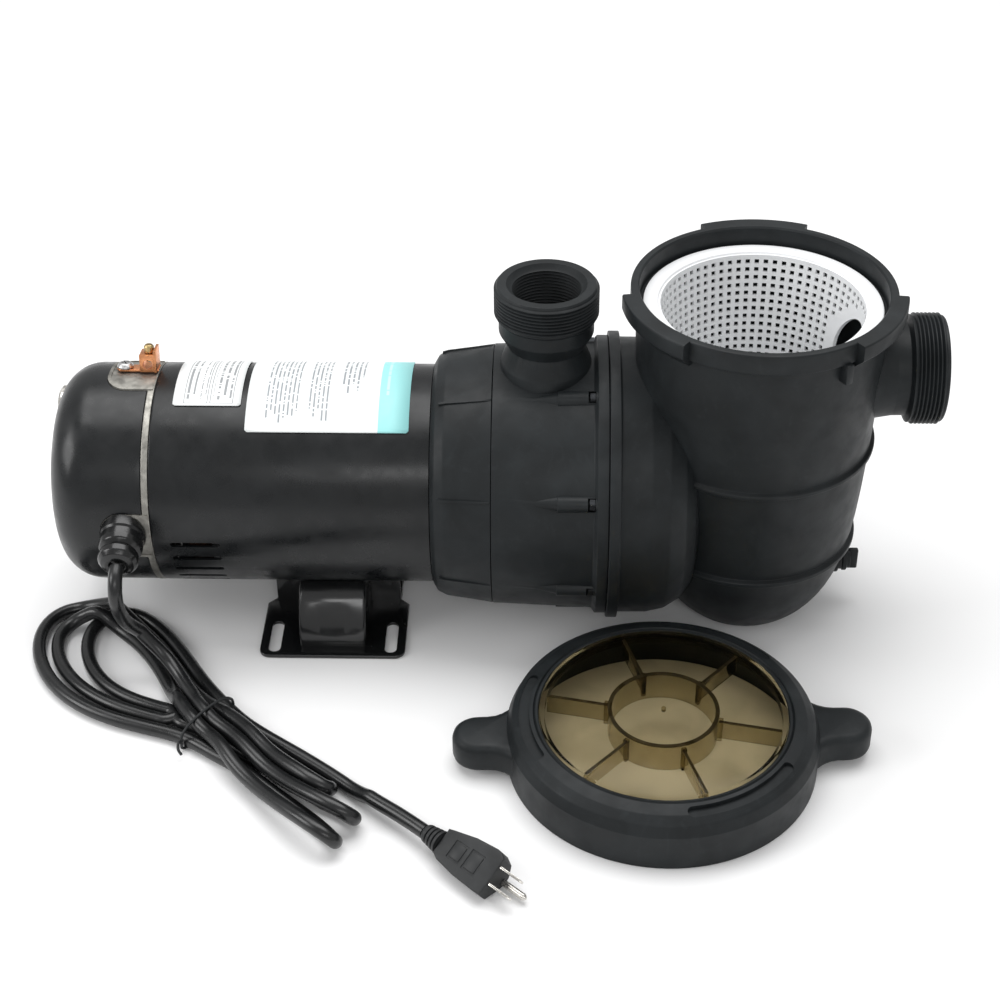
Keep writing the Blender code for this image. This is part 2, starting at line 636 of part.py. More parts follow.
def volute_casing():
    casing = turned("volute_casing", [
        (SEAM + 0.2, 94.5), (188.5, 97.3), (191, 101.2), (FLANGE_LEFT - 0.3, 101.2),
        (FLANGE_LEFT - 0.3, 89.4),
        (122, 89.4), (122, 85), (SEAM + 0.2, 85)], on_axis(), ALONG, PLASTIC, WIDE)
    port = turned("discharge_body", port_profile(DISCHARGE_TOP, 36.4, 40, 33.2, 27), (DISCHARGE_X, 0, 0), UP,
                  steps=WIDE, cutter=True)
    join(casing, port)
    for index, angle in enumerate(rib_angles()):
        centre = Vector(on_axis()) + outward(angle) * 95.2
        join(casing, rod(f"boss_{index}", 5.9, 164, 193, centre, ALONG, cutter=True, steps=10),
             rod(f"boss_nose_{index}", 1.2, 138, 164.4, centre + outward(angle) * 0.4, ALONG, cutter=True,
                 steps=10, tip=5.9))
    cut(casing, turned("casing_hollow", [(100, 0), (100, 84.9), (122.1, 84.9), (122.1, 89.3), (210, 89.3),
                                         (210, 0)],
                       on_axis(), ALONG, steps=WIDE, cutter=True))
    bore = [(DISCHARGE_TOP + 2, 0), (DISCHARGE_TOP + 2, 29.5), (DISCHARGE_TOP - 5, 26),
            (DISCHARGE_TOP - 8, THREAD_BORE), (DISCHARGE_TOP - 32, THREAD_BORE),
            (DISCHARGE_TOP - 34, PORT_BORE),
            (150, PORT_BORE), (150, 0)]
    cut(casing, turned("discharge_bore", bore, (DISCHARGE_X, 0, 0), UP, steps=NARROW, cutter=True))
    for index, angle in enumerate(rib_angles()):
        centre = Vector(on_axis()) + outward(angle) * CASING_BOLT_CIRCLE
        cut(casing, rod(f"bolt_pocket_{index}", 5.0, 184, 189.4, centre, ALONG, cutter=True, steps=8),
            rod(f"bolt_way_{index}", 5.0, 184, 189.4, centre + outward(angle) * 3, ALONG, cutter=True,
                steps=8),
            rod(f"bolt_hole_{index}", 3.1, 188, 200, centre, ALONG, cutter=True, steps=8))
        turned(f"casing_bolt_{index + 1}", [(185.2, 0), (185.2, 4.4), (189, 4.4), (189, 2.6), (205.4, 2.6),
                                            (205.4, 0)], centre, ALONG, STEEL, 8)


def pot_radius(height):
    """Outer radius of the strainer pot at a height: a bowl that opens into a slightly tapered wall."""
    bowl = 77.0 * (1 - math.exp(-(height + 24.5) / 30.0))
    return bowl + 11.3 * (height / RIM_TOP)


def pot_profile():
    heights = [0, 2.5, 7, 14, 24, 40, 64.3]
    upper = [90, 145.4]
    top = [190, 249.4]
    line = [(0, 0)] + [(z, pot_radius(z)) for z in heights]
    line += rib(66.5, 3.2) + [(z, pot_radius(z)) for z in upper] + rib(147.5, 3.0)
    line += [(z, pot_radius(z)) for z in top] + [(250.4, RIM_OUTSIDE), (RIM_TOP, RIM_OUTSIDE), (RIM_TOP, 0)]
    return line


def rib(height, proud):
    radius = pot_radius(height)
    return [(height - 1.9, radius + proud), (height + 1.5, radius + proud), (height + 2.4, radius)]


def strainer_housing():
    pot_centre = (POT_X, 0, 0)
    pot = turned("strainer_housing", pot_profile(), pot_centre, UP, PLASTIC, WIDE)
    barrel = turned("barrel", [
        (FLANGE_LEFT + 0.1, 0), (FLANGE_LEFT + 0.1, 90.6), (201.2, 90.6), (201.2, 93.1),
        (FLANGE_LEFT + 0.1, 93.1),
        (FLANGE_LEFT + 0.1, FLANGE_RADIUS), (FLANGE_RIGHT, FLANGE_RADIUS),
        (FLANGE_RIGHT, 100.2), (228, 100.0), (241, 97), (252, 90), (260, 79), (265, 60),
        (265, 0)], on_axis(), ALONG, steps=WIDE, cutter=True)
    port = turned("suction_body", [(370, 0), (370, 34.5), (396, 33.0), (405, 33.0), (407, 38.6),
                                   (430.2, 39.0), (SUCTION_END, 38.4), (SUCTION_END, 0)],
                  (0, 0, SUCTION_HEIGHT), ALONG, steps=WIDE, cutter=True)
    boss = rod("drain_boss", 10.5, 345, 374, (0, 0, DRAIN_HEIGHT), ALONG, cutter=True)
    join(pot, barrel, port, boss)
    for angle in LUG_ANGLES:
        skin = turned(f"lug_skin_{angle}", [(LUG_BOTTOM, 88), (LUG_BOTTOM, LUG_RADIUS),
                                            (RIM_TOP, LUG_RADIUS),
                                            (RIM_TOP, 88)], pot_centre, UP, steps=WIDE, cutter=True)
        wide = 130 * math.tan(math.radians(LUG_HALF_ANGLE))
        turn = Matrix.Translation(Vector(pot_centre) * MM) @ Matrix.Rotation(math.radians(angle), 4, "Z")
        outline = [(20, -20 / 130 * wide), (130, -wide), (130, wide), (20, 20 / 130 * wide)]
        wedge = sheet(f"lug_wedge_{angle}", [outline], LUG_BOTTOM - 5, RIM_TOP + 5, cutter=True, frame=turn)
        boolean(skin, wedge, "INTERSECT")
        join(pot, skin)
    stop = block("lid_stop", (86, -3, 240), (94, 3, 250.6), cutter=True)
    stop.matrix_world = Matrix.Translation(Vector(pot_centre) * MM) @ Matrix.Rotation(math.radians(303), 4,
        "Z")
    join(pot, stop)
    inside = [(POT_WALL + 1, 0)] + [(z, pot_radius(z) - POT_WALL) for z in (5.5, 10, 20, 36, 60, 120)]
    inside += [(243, 83.0), (244.5, 78.5), (BASKET_SEAT, 78.5), (BASKET_SEAT, RIM_INSIDE),
               (RIM_TOP + 2, RIM_INSIDE), (RIM_TOP + 2, 0)]
    cut(pot, turned("pot_hollow", inside, pot_centre, UP, steps=WIDE, cutter=True),
        turned("chamber", [(190, 0), (190, 88.6), (206, 88.6), (211, 85), (213, 78), (213, EYE_RADIUS),
                           (262, EYE_RADIUS), (262, 0)], on_axis(), ALONG, steps=WIDE, cutter=True),
        turned("suction_bore", [(370, 0), (370, PORT_BORE), (404, PORT_BORE), (406, THREAD_BORE),
                                (SUCTION_END - 6, THREAD_BORE), (SUCTION_END - 3, 26),
                                (SUCTION_END + 2, 29.5),
                                (SUCTION_END + 2, 0)], (0, 0, SUCTION_HEIGHT), ALONG, steps=NARROW,
               cutter=True),
        rod("drain_bore", 5.6, 340, 380, (0, 0, DRAIN_HEIGHT), ALONG, cutter=True, steps=12))
    for index, angle in enumerate(rib_angles()):
        centre = Vector(on_axis()) + outward(angle) * CASING_BOLT_CIRCLE
        cut(pot, rod(f"flange_hole_{index}", 3.1, 190, 206, centre, ALONG, cutter=True, steps=8))
    torus("casing_oring", 91.7, 1.0, (200.1, 0, AXIS_HEIGHT), ALONG, RUBBER)


def strainer_basket():
    basket = turned("strainer_basket", [
        (74, 0), (74, 53), (77, 56.5), (246, 71.4), (249.6, 73), (249.6, 82.2), (252, 82.2), (252, 72.5),
        (249.4, 70.4), (247, 69.4), (79, 54.6), (76, 52), (76, 0)], (POT_X, 0, 0), UP, WHITE_PLASTIC, WIDE)
    cut(basket, rod("basket_mouth", 26, 340, 400, (0, 0, SUCTION_HEIGHT), ALONG, cutter=True))


def drain_plug():
    turned("drain_plug_oring", [(374.4, 6.0), (374.4, 8.4), (376.6, 8.4), (376.6, 6.0)],
           (0, 0, DRAIN_HEIGHT), ALONG, RUBBER, 24)
    plug = turned("drain_plug", [(362, 0), (362, 5.2), (377, 5.2), (377, 9.2), (380, 9.2), (380.6, 7.6),
                                 (383, 7.6), (383, 0)], (0, 0, DRAIN_HEIGHT), ALONG, PLASTIC, 24)
    wing = block("drain_wing", (382, -2.2, DRAIN_HEIGHT - 8.5), (389, 2.2, DRAIN_HEIGHT + 8.5), cutter=True)
    join(plug, wing)


# Lid ----------------------------------------------------------------------------------------------

def lid_frame(height=0.0):
    return Matrix.Translation(Vector((LID_X, LID_Y, height)) * MM) @ Matrix.Rotation(math.radians(LID_TURN),
        4, "Z")


def ear_outline():
    """An ear on each side of the ring, wide at its root and round at its tip."""
    reach = EAR_REACH - EAR_HALF
    tip = arc((reach, 0), EAR_HALF, 90, -90, 6)
    return [(88, 34), (99, 30), (106, 22), (112, 18.5)] + tip + [(112, -18.5), (106, -22), (99, -30),
                                                                 (88, -34)]


def lid():
    ring = turned("lid_ring", [
        (0, 100), (0, LID_RADIUS), (28, LID_RADIUS), (34.5, 103.3), (38.3, 97), (40.9, 86.5),
        (40.4, LENS_OPENING), (36.9, LENS_OPENING), (36.4, 100)],
        (LID_X, LID_Y, 0), UP, PLASTIC, WIDE)
    for side in (0, 180):
        ear = sheet(f"ear_{side}", [ear_outline()], 4, 27, cutter=True,
                    frame=lid_frame() @ Matrix.Rotation(math.radians(side), 4, "Z"))
        soften(ear, 6, 2)
        join(ring, ear)
    cut(ring, rod("ring_clearance", 99.9, -1, 36.3, (LID_X, LID_Y, 0), UP, cutter=True, steps=WIDE))
    for angle in (60, 180, 300):
        slot = [(96.8 * math.cos(a),
                 96.8 * math.sin(a)) for a in (math.radians(-22 + 7.3333 * i) for i in range(7))]
        inner = [(x * 91.6 / 96.8, y * 91.6 / 96.8) for x, y in slot[::-1]]
        cut(ring, sheet(f"lid_slot_{angle}", [slot + inner], 30, 45, cutter=True,
                        frame=lid_frame() @ Matrix.Rotation(math.radians(angle), 4, "Z")))
    lens_and_ribs()
    torus("lid_oring", 87.0, 1.6, (LID_X, LID_Y, 30.8), UP, RUBBER)


def dome(radius):
    """Height of the lens's outer face."""
    return 46.5 - 4.9 * (radius / 83.8) ** 2


def lens_and_ribs():
    wall = 3.2
    outer = [(dome(r), r) for r in (0, 30, 60, 83.8)]
    inner = [(dome(r) - wall, r) for r in (80.4, 50, 0)]
    edge = [(36.4, 83.8), (36.2, 91.0), (32.8, 91.0), (32.8, 80.4)]
    lens = turned("lid_lens", outer + edge + inner, (LID_X, LID_Y, 0), UP, SMOKED, WIDE)
    hub = turned("lens_hub", [(27, 35.2), (27, 37.4), (44, 37.4), (44, 35.2)], (LID_X, LID_Y, 0), UP,
                 steps=NARROW, cutter=True)
    join(lens, hub)
    for index in range(6):
        fin = block(f"lens_rib_{index}", (36.6, -1, 30), (81.2, 1, 40.4), cutter=True)
        fin.matrix_world = lid_frame() @ Matrix.Rotation(math.radians(45 + 60 * index), 4, "Z")
        join(lens, fin)


# Cord ---------------------------------------------------------------------------------------------

def cord():
    wire("cord_drop", DROP_ROUTE, CORD_RADIUS, CORD_JACKET)
    wire("cord_plug_end", PLUG_ROUTE, CORD_RADIUS, CORD_JACKET)
    hank = sheet("cord_hank", [HANK_OUTLINE, HANK_HOLE], 0.2, HANK_TOP, CORD_JACKET)
    join(hank, soften(sheet("cord_folds", [FOLD_OUTLINE], 0.6, FOLD_TOP, cutter=True), 5, 2))


def cord_tie():
    """A twist tie laid over the hank's waist."""
    block("cord_tie", (-2, -30, HANK_TOP + GAP), (2, 30, HANK_TOP + GAP + 1.6), RUBBER).matrix_world = \
        Matrix.Translation(Vector((-77, -163, 0)) * MM) @ Matrix.Rotation(math.radians(-20), 4, "Z")


def plug():
    frame = (Matrix.Translation(PLUG_AT * MM) @ Matrix.Rotation(math.radians(PLUG_TURN), 4, "Z")
             @ Matrix.Rotation(math.radians(PLUG_ROLL), 4, "X"))
    relief = turned("plug_strain_relief", [(-61.2, 0), (-61.2, 5.8), (-58, 6.6), (-46.4, 8.6), (-46.4, 0)],
                    (0, -2.6, -0.9), ALONG, RUBBER, NARROW)
    relief.matrix_world = frame @ relief.matrix_world
    top = [(-46, -10.6), (-41, -13), (-25, -15.2), (-8, -15.8), (0, -15.6), (0, 11.6), (-4, 14.4),
           (-8, 14.8), (-25, 13), (-41, 9), (-46, 7.6)]
    body = sheet("plug_body", [top], -16, 4.6, RUBBER, frame=frame)
    side = [(-47, 6), (1, 6), (1, -16.2), (-16, -16.2), (-34, -12), (-47, -9.5)]
    face = [(-17, 6), (-17, -4), (-10, -9.6), (-4.6, -13.3), (0, -15.6), (4.6, -14.8), (10, -10), (16, -4),
            (16, 6)]
    upright = Matrix(((1, 0, 0, 0), (0, 0, 1, 0), (0, 1, 0, 0), (0, 0, 0, 1)))
    across = Matrix(((0, 0, 1, 0), (1, 0, 0, 0), (0, 1, 0, 0), (0, 0, 0, 1)))
    boolean(body, sheet("plug_side", [side], -30, 30, cutter=True, frame=frame @ upright), "INTERSECT")
    boolean(body, sheet("plug_face", [face], -60, 30, cutter=True, frame=frame @ across), "INTERSECT")
    for index, y in enumerate((BLADE_SPACING / 2, -BLADE_SPACING / 2)):
        blade = block(f"plug_blade_{index + 1}", (0.4, y - 0.8, -3.2), (17.5, y + 0.8, 3.2), BRASS)
        blade.matrix_world = frame
    pin = turned("plug_ground_pin", [(0.4, 0), (0.4, 2.4), (18.5, 2.4), (20.3, 1.2), (20.3, 0)],
                 (0, 0, -PIN_DROP), ALONG, BRASS, 12)
    pin.matrix_world = frame @ pin.matrix_world


def build():
    motor_shell()
    rear_end_frame()
    end_cover()
    front_end_frame()
    through_bolts()
    bearings()
    stator()
    rotor()
    capacitor()
    wrapped_label("rating_label", -106, -58.5, -33, 20.4, SHELL_RADIUS + 0.6)
    wrapped_label("care_label", -54.5, 59.5, -33, 35.2, SHELL_RADIUS + 0.6)
    ground_lug()
    motor_foot()
    cord_gland()
    seal_plate()
    shaft_seal()
    impeller()
    diffuser()
    volute_casing()
    strainer_housing()
    strainer_basket()
    drain_plug()
    lid()
    cord()
    cord_tie()
    plug()


build()
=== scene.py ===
"""Looks of the pool pump: fine surfaces, materials, cord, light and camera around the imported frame.

Lengths are in millimetres and become metres in the helpers. +X runs along the motor axis towards the
suction port, +Y away from the lid and +Z up. The origin is the centre of the motor foot's underside.
"""

import math

import bmesh
import bpy
import numpy as np
from mathutils import Matrix, Vector


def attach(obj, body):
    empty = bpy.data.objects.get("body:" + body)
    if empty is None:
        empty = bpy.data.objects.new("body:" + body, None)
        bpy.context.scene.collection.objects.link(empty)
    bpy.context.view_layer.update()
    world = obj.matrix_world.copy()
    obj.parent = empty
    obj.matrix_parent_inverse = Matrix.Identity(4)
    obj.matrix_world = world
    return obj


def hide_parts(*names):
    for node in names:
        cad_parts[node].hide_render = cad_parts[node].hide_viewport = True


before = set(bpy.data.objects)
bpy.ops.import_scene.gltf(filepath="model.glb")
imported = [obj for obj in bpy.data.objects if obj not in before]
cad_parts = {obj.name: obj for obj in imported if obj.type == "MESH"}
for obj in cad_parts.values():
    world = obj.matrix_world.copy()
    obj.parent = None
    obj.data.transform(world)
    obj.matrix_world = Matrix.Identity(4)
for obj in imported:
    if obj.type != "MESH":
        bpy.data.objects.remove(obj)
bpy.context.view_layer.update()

MM = 0.001
UP = Vector((0, 0, 1))
ALONG = Vector((1, 0, 0))
FINE, COARSE = 144, 64       # faces round a large and a small turned piece

# Motor
AXIS_HEIGHT = 107.0
SHELL_RADIUS = 79.4
SHELL_LEFT, SHELL_RIGHT = -121.2, 74.1
BAND_LEFT, BAND_RIGHT = -126.4, -121.6
COVER_LEFT = -195.0
COVER_CORNER = 28.0
BOSS_TOP = 80.4
BOSS_TIP = -156.8
PAD_ANGLE, PAD_HALF, PAD_CORNER = -8.5, 25.0, 15.0      # degrees from the top towards the front
PORT_ANGLE, PORT_HALF, PORT_CORNER = 91.6, 18.4, 14.0

# Foot
FOOT_HALF_X, FOOT_HALF_Y = 53.3, 85.0
FOOT_PLATE = 2.6
FOOT_NECK_X, FOOT_NECK_Y = 46.5, 22.0
HUMP_HALF = 24.5
SLOT_X, SLOT_Y = 42.6, 63.2
SLOT_WIDTH, SLOT_LENGTH = 8.6, 34.0

# Wet end
PLATE_LEFT, SEAM = 74.5, 117.4
FLANGE_LEFT, FLANGE_RIGHT, FLANGE_RADIUS = 198.9, 206.8, 104.3
RIB_COUNT = 8
RIB_START = 22.5
BOLT_CIRCLE = 96.6
DISCHARGE_X, DISCHARGE_TOP = 154.6, 266.1
SUCTION_HEIGHT, SUCTION_END = 199.9, 430.9
THREAD_BORE, PORT_BORE = 24.1, 20.5

# Strainer pot, basket and drain
POT_X = 303.2
RIM_TOP, RIM_INSIDE, RIM_OUTSIDE = 264.6, 85.1, 91.2
LUG_RADIUS, LUG_BOTTOM, LUG_HALF_ANGLE = 98.0, 250.4, 23.0
LUG_ANGLES = (90, 210, 330)
POT_WALL = 4.5
BASKET_SEAT = 249.2
DRAIN_HEIGHT = 32.0

# Lid
LID_X, LID_Y = 236.0, -183.0
LID_TURN = 3.2
LID_RADIUS = 106.0
LENS_OPENING = 84.3
SLOT_SWEEP = 24.0
HUB_BOTTOM = 21.0
EAR_REACH, EAR_HALF = 143.0, 17.5

# Cord
CORD_RADIUS = 5.0
GLAND_BASE = Vector((-141.0, -79.0, 107.8))
GLAND_TILT = 12.0
WAIST = Vector((-78.0, -163.0, 0.0))
RUN = Vector((0.78, -0.63, 0.0)).normalized()
ACROSS = Vector((0.63, 0.78, 0.0)).normalized()
LOW, HIGH = 5.2, 14.0        # heights of the hank's two layers
DROP_ROUTE = [
    (-0.141, -0.1097, 0.1013), (-0.141, -0.1169, 0.0984), (-0.141, -0.1219, 0.0922),
    (-0.141, -0.124, 0.0846), (-0.141, -0.1227, 0.0769), (-0.1405, -0.1184, 0.0658),
    (-0.1385, -0.113, 0.055), (-0.1345, -0.1075, 0.0455),
    (-0.1285, -0.1035, 0.037), (-0.1205, -0.102, 0.0305), (-0.111, -0.1035, 0.0263),
]
PLUG_ROUTE = [
    (0.0384, -0.2354, 0.0096), (0.0485, -0.244, 0.0102), (0.0585, -0.2523, 0.0109), (0.066, -0.259, 0.0115),
    (0.0735, -0.2659, 0.0121), (0.079, -0.271, 0.0123),
]
OUTER_LOOP = [(-116, -168), (-136, -163.5), (-156, -155.5), (-175, -145), (-193, -129), (-208.5, -107),
              (-218, -82), (-220, -57), (-213, -38), (-200, -29.5), (-186, -29.5), (-168, -37),
              (-150, -49.5), (-126, -77.4), (-108, -106.4)]
MIDDLE_LOOP = [(-114, -157), (-134, -152), (-152, -144), (-171, -132.5), (-190, -113), (-200.6, -94),
               (-206, -75), (-207, -60), (-204, -48.5), (-196.5, -43), (-186, -43.5), (-172, -49),
               (-155, -61), (-134.5, -83), (-116.5, -112)]
INNER_LOOP = [(-118, -147), (-137, -142), (-152, -132), (-164, -120), (-174, -106), (-180.5, -90),
              (-184, -76), (-184.5, -62), (-181, -48), (-172, -37), (-158, -34), (-146, -39),
              (-135, -49), (-117, -72),
              (-99, -101)]
PLUG_AT = Vector((126.0, -311.5, 14.7))
PLUG_TURN, PLUG_ROLL = -42.6, 32.0
BLADE_SPACING, PIN_DROP = 12.7, 11.9
STRAND_GAP = 0.4
HELD_AT_GLAND, HELD_AT_PLUG = 19, 14       # points of the laid cord that stay where the route puts them
SETTLING, SMOOTHING = 160, 14              # rounds of pushing strands apart, then of evening their bends

# Camera, in degrees and millimetres
PITCH, YAW, ROLL = 35.976, -1.707, -0.495
LENS_LENGTH, SENSOR_WIDTH = 71.72, 36
EYE = Vector((156.8, -1189.5, 946.4))

# Light: a lamp's name, its place and size in metres, and its power in watts
WORLD_LIGHT = 0.55
LAMPS = [
    ("overhead", (0.1, 0.5, 2.2), (2.4, 1.6), 42.0),
    ("left_box", (-1.7, -0.5, 1.1), (0.9, 0.9), 13.0),
    ("front_box", (0.3, -2.2, 1.6), (1.6, 0.5), 9.0),
]


# Camera -------------------------------------------------------------------------------------------

def camera():
    pitch, yaw, roll = (math.radians(a) for a in (PITCH, YAW, ROLL))
    ahead = Vector((math.sin(yaw) * math.cos(pitch), math.cos(yaw) * math.cos(pitch), -math.sin(pitch)))
    right = Vector((math.cos(yaw), -math.sin(yaw), 0))
    above = right.cross(ahead)
    across = math.cos(roll) * right + math.sin(roll) * above
    upward = -math.sin(roll) * right + math.cos(roll) * above
    data = bpy.data.cameras.new("view")
    data.lens = LENS_LENGTH
    data.sensor_width = SENSOR_WIDTH
    eye = bpy.data.objects.new("view", data)
    eye.matrix_world = Matrix((across, upward, -ahead)).transposed().to_4x4()
    eye.location = EYE * MM
    bpy.context.scene.collection.objects.link(eye)
    bpy.context.scene.camera = eye


camera()


# Material helpers ---------------------------------------------------------------------------------

class Graph:
    """A small writer of node graphs, in which a number, a colour or a socket can be an input."""

    def __init__(self, name):
        self.material = bpy.data.materials.new(name)
        self.material.use_nodes = True
        self.tree = self.material.node_tree
        self.shader = self.tree.nodes["Principled BSDF"]
        self.place = self.node("ShaderNodeTexCoord").outputs["Object"]

    def node(self, kind, settings=None, **inputs):
        made = self.tree.nodes.new(kind)
        for key, value in (settings or {}).items():
            setattr(made, key, value)
        for key, value in inputs.items():
            self.put(made.inputs[key.replace("_", " ")], value)
        return made

    def put(self, socket, value):
        if isinstance(value, bpy.types.NodeSocket):
            self.tree.links.new(value, socket)
        elif isinstance(value, tuple) and len(value) == 3 and socket.type == "RGBA":
            socket.default_value = (*value, 1)
        else:
            socket.default_value = value

    def set(self, name, value):
        self.put(self.shader.inputs[name], value)

    def maths(self, operation, *values, clamp=False):
        made = self.tree.nodes.new("ShaderNodeMath")
        made.operation = operation
        made.use_clamp = clamp
        for socket, value in zip(made.inputs, values):
            self.put(socket, value)
        return made.outputs[0]

    def stretched(self, stretch):
        return self.node("ShaderNodeMapping", Vector=self.place, Scale=stretch).outputs[0]

    def noise(self, size, detail=4.0, stretch=None, distortion=0.0):
        """Noise whose features are about size millimetres across."""
        place = self.stretched(stretch) if stretch else self.place
        return self.node("ShaderNodeTexNoise", Vector=place, Scale=1 / (size * MM), Detail=detail,
                         Distortion=distortion).outputs["Fac"]

    def ramp(self, value, low, high, to_low=0.0, to_high=1.0):
        made = self.node("ShaderNodeMapRange", Value=value)
        for key, number in (("From Min", low), ("From Max", high), ("To Min", to_low), ("To Max", to_high)):
            self.put(made.inputs[key], number)
        return made.outputs[0]

    def mix(self, share, first, second):
        made = self.tree.nodes.new("ShaderNodeMix")
        made.data_type = "RGBA"
        self.put(made.inputs[0], share)
        self.put(made.inputs[6], first)
        self.put(made.inputs[7], second)
        return made.outputs[2]

    def bump(self, layers, strength=1.0):
        """Bump from (height, depth in millimetres) pairs."""
        normal = None
        for height, depth in layers:
            made = self.node("ShaderNodeBump", Height=height, Strength=strength, Distance=depth * MM)
            if normal is not None:
                self.put(made.inputs["Normal"], normal)
            normal = made.outputs[0]
        self.set("Normal", normal)


def tint(colour, factor):
    return tuple(min(1.0, channel * factor) for channel in colour)


def moulded(name, colour, roughness, grain=0.5, grain_depth=0.03, mottle=0.35, level=0.35, streaks=True,
            coat=0.0):
    """Moulded or painted surface: cloudy colour, flow streaks, uneven gloss and a fine grain."""
    graph = Graph(name)
    cloud = graph.noise(38, 3.0, distortion=0.8)
    fleck = graph.noise(5.5, 4.0)
    body = graph.mix(graph.ramp(cloud, 0.34, 0.68), tint(colour, 1 - mottle * 0.6), tint(colour, 1 + mottle))
    body = graph.mix(graph.ramp(fleck, 0.58, 0.8, 0.0, 0.5), body, tint(colour, 1 + 2 * mottle))
    if streaks:
        flow = graph.noise(20, 5.0, stretch=(1, 1, 0.35), distortion=2.5)
        body = graph.mix(graph.ramp(flow, 0.6, 0.78, 0.0, 0.35), body, tint(colour, 1 + 3.2 * mottle))
    graph.set("Base Color", body)
    graph.set("Roughness", graph.ramp(graph.noise(14, 4.0), 0.3, 0.75, roughness - 0.07, roughness + 0.1))
    graph.set("Specular IOR Level", level)
    if coat:
        graph.set("Coat Weight", coat)
        graph.set("Coat Roughness", 0.12)
    graph.bump([(graph.noise(grain, 2.0), grain_depth), (graph.noise(9, 3.0), grain_depth * 2.5)], 0.6)
    return graph.material


def metal(name, colour, roughness, grain=0.4, depth=0.02, mottle=0.25, brushed=None):
    """Bare metal with stains, uneven polish and a cast or brushed grain."""
    graph = Graph(name)
    stain = graph.noise(7, 5.0, distortion=0.6)
    graph.set("Base Color", graph.mix(graph.ramp(stain, 0.35, 0.72), tint(colour, 1 + mottle * 0.3),
                                      tint(colour, 1 - mottle)))
    graph.set("Metallic", 1.0)
    graph.set("Roughness", graph.ramp(graph.noise(2.4, 4.0), 0.3, 0.75, roughness - 0.08, roughness + 0.14))
    graph.bump([(graph.noise(grain, 3.0, stretch=brushed), depth)], 0.7)
    return graph.material


def glassy(name, colour, roughness):
    """Tinted clear plastic, with faint haze and wipe marks."""
    graph = Graph(name)
    haze = graph.noise(26, 3.0, distortion=1.2)
    graph.set("Base Color", graph.mix(graph.ramp(haze, 0.3, 0.7), tint(colour, 0.93), tint(colour, 1.05)))
    graph.set("Transmission Weight", 1.0)
    graph.set("IOR", 1.12)
    graph.set("Roughness", graph.ramp(graph.noise(12, 4.0), 0.35, 0.8, roughness, roughness + 0.05))
    graph.bump([(graph.noise(45, 1.0), 0.05)], 0.2)
    return graph.material


CHARCOAL = moulded("charcoal_plastic", (0.0112, 0.0134, 0.0146), 0.48, level=0.25)
BLACK_PAINT = moulded("black_paint", (0.0072, 0.0082, 0.009), 0.3, grain=0.9, grain_depth=0.015, mottle=0.2,
                      level=0.36, streaks=False)
GLOSS_PAINT = moulded("gloss_paint", (0.007, 0.0075, 0.008), 0.2, grain=1.4, grain_depth=0.02, mottle=0.2,
                      level=0.5, streaks=False, coat=0.35)
GLAND = moulded("gland_plastic", (0.006, 0.0062, 0.0065), 0.2, mottle=0.25, level=0.5, streaks=False)
JACKET = moulded("cord_jacket", (0.0085, 0.009, 0.0095), 0.27, grain=0.7, grain_depth=0.01, mottle=0.25,
                 level=0.5, streaks=False)
RUBBER = moulded("rubber", (0.014, 0.0155, 0.0165), 0.5, mottle=0.3, streaks=False)
PLUG_RUBBER = moulded("plug_rubber", (0.022, 0.0235, 0.0245), 0.46, mottle=0.3, streaks=False)
CAST = metal("cast_metal", (0.36, 0.35, 0.32), 0.46, grain=0.8, depth=0.06, mottle=0.45)
STEEL = metal("steel", (0.62, 0.62, 0.62), 0.3, mottle=0.3)
BLACK_STEEL = metal("blackened_steel", (0.035, 0.037, 0.04), 0.45, mottle=0.3)
LAMINATED = metal("laminated_steel", (0.4, 0.4, 0.41), 0.4, grain=0.5, depth=0.05, brushed=(1, 0.05, 0.05))
NICKEL = metal("nickel", (0.66, 0.64, 0.6), 0.22, mottle=0.15, brushed=(0.2, 1, 1))
COPPER = metal("copper", (0.82, 0.36, 0.17), 0.3, mottle=0.3)
# Near-black copper: painted shade for the dark inside of the motor seen through the vents.
WINDING_SHADED = metal("winding_copper_painted_shade", (0.05, 0.022, 0.012), 0.5, grain=0.8, depth=0.3, brushed=(1, 0.1, 0.1))
BRASS = metal("brass", (0.55, 0.41, 0.2), 0.34, mottle=0.4)
WHITE = moulded("white_plastic", (0.86, 0.87, 0.88), 0.38, mottle=0.02, level=0.5, streaks=False)
CERAMIC = moulded("ceramic", (0.8, 0.78, 0.72), 0.3, mottle=0.03, level=0.5, streaks=False)
LENS = glassy("smoked_plastic", (0.66, 0.6, 0.45), 0.02)
LENS_RIB = glassy("smoked_rib", (0.62, 0.56, 0.42), 0.05)
# Opaque dark material on the stiffeners' joins with the lens: painted shade for the dark lines seen there
# through the clear plastic.
LENS_JOIN_SHADE = moulded("painted_shade_lens_join", (0.045, 0.038, 0.026), 0.3, level=0.5, streaks=False)


def printed(name, build):
    """White label stock whose print comes from build(graph, along, angle), with angle in degrees."""
    graph = Graph(name)
    parts = graph.node("ShaderNodeSeparateXYZ", Vector=graph.place)
    along = graph.maths("MULTIPLY", parts.outputs[0], 1 / MM)
    high = graph.maths("SUBTRACT", parts.outputs[2], AXIS_HEIGHT * MM)
    forward = graph.maths("MULTIPLY", parts.outputs[1], -1.0)
    angle = graph.maths("MULTIPLY", graph.maths("ARCTAN2", forward, high), 180 / math.pi)
    graph.set("Base Color", build(graph, along, angle))
    graph.set("Roughness", graph.ramp(graph.noise(6, 3.0), 0.3, 0.7, 0.42, 0.55))
    graph.bump([(graph.noise(3, 3.0), 0.02)], 0.5)
    return graph.material


def between(graph, value, low, high):
    over = graph.maths("GREATER_THAN", value, low)
    under = graph.maths("LESS_THAN", value, high)
    return graph.maths("MULTIPLY", over, under)


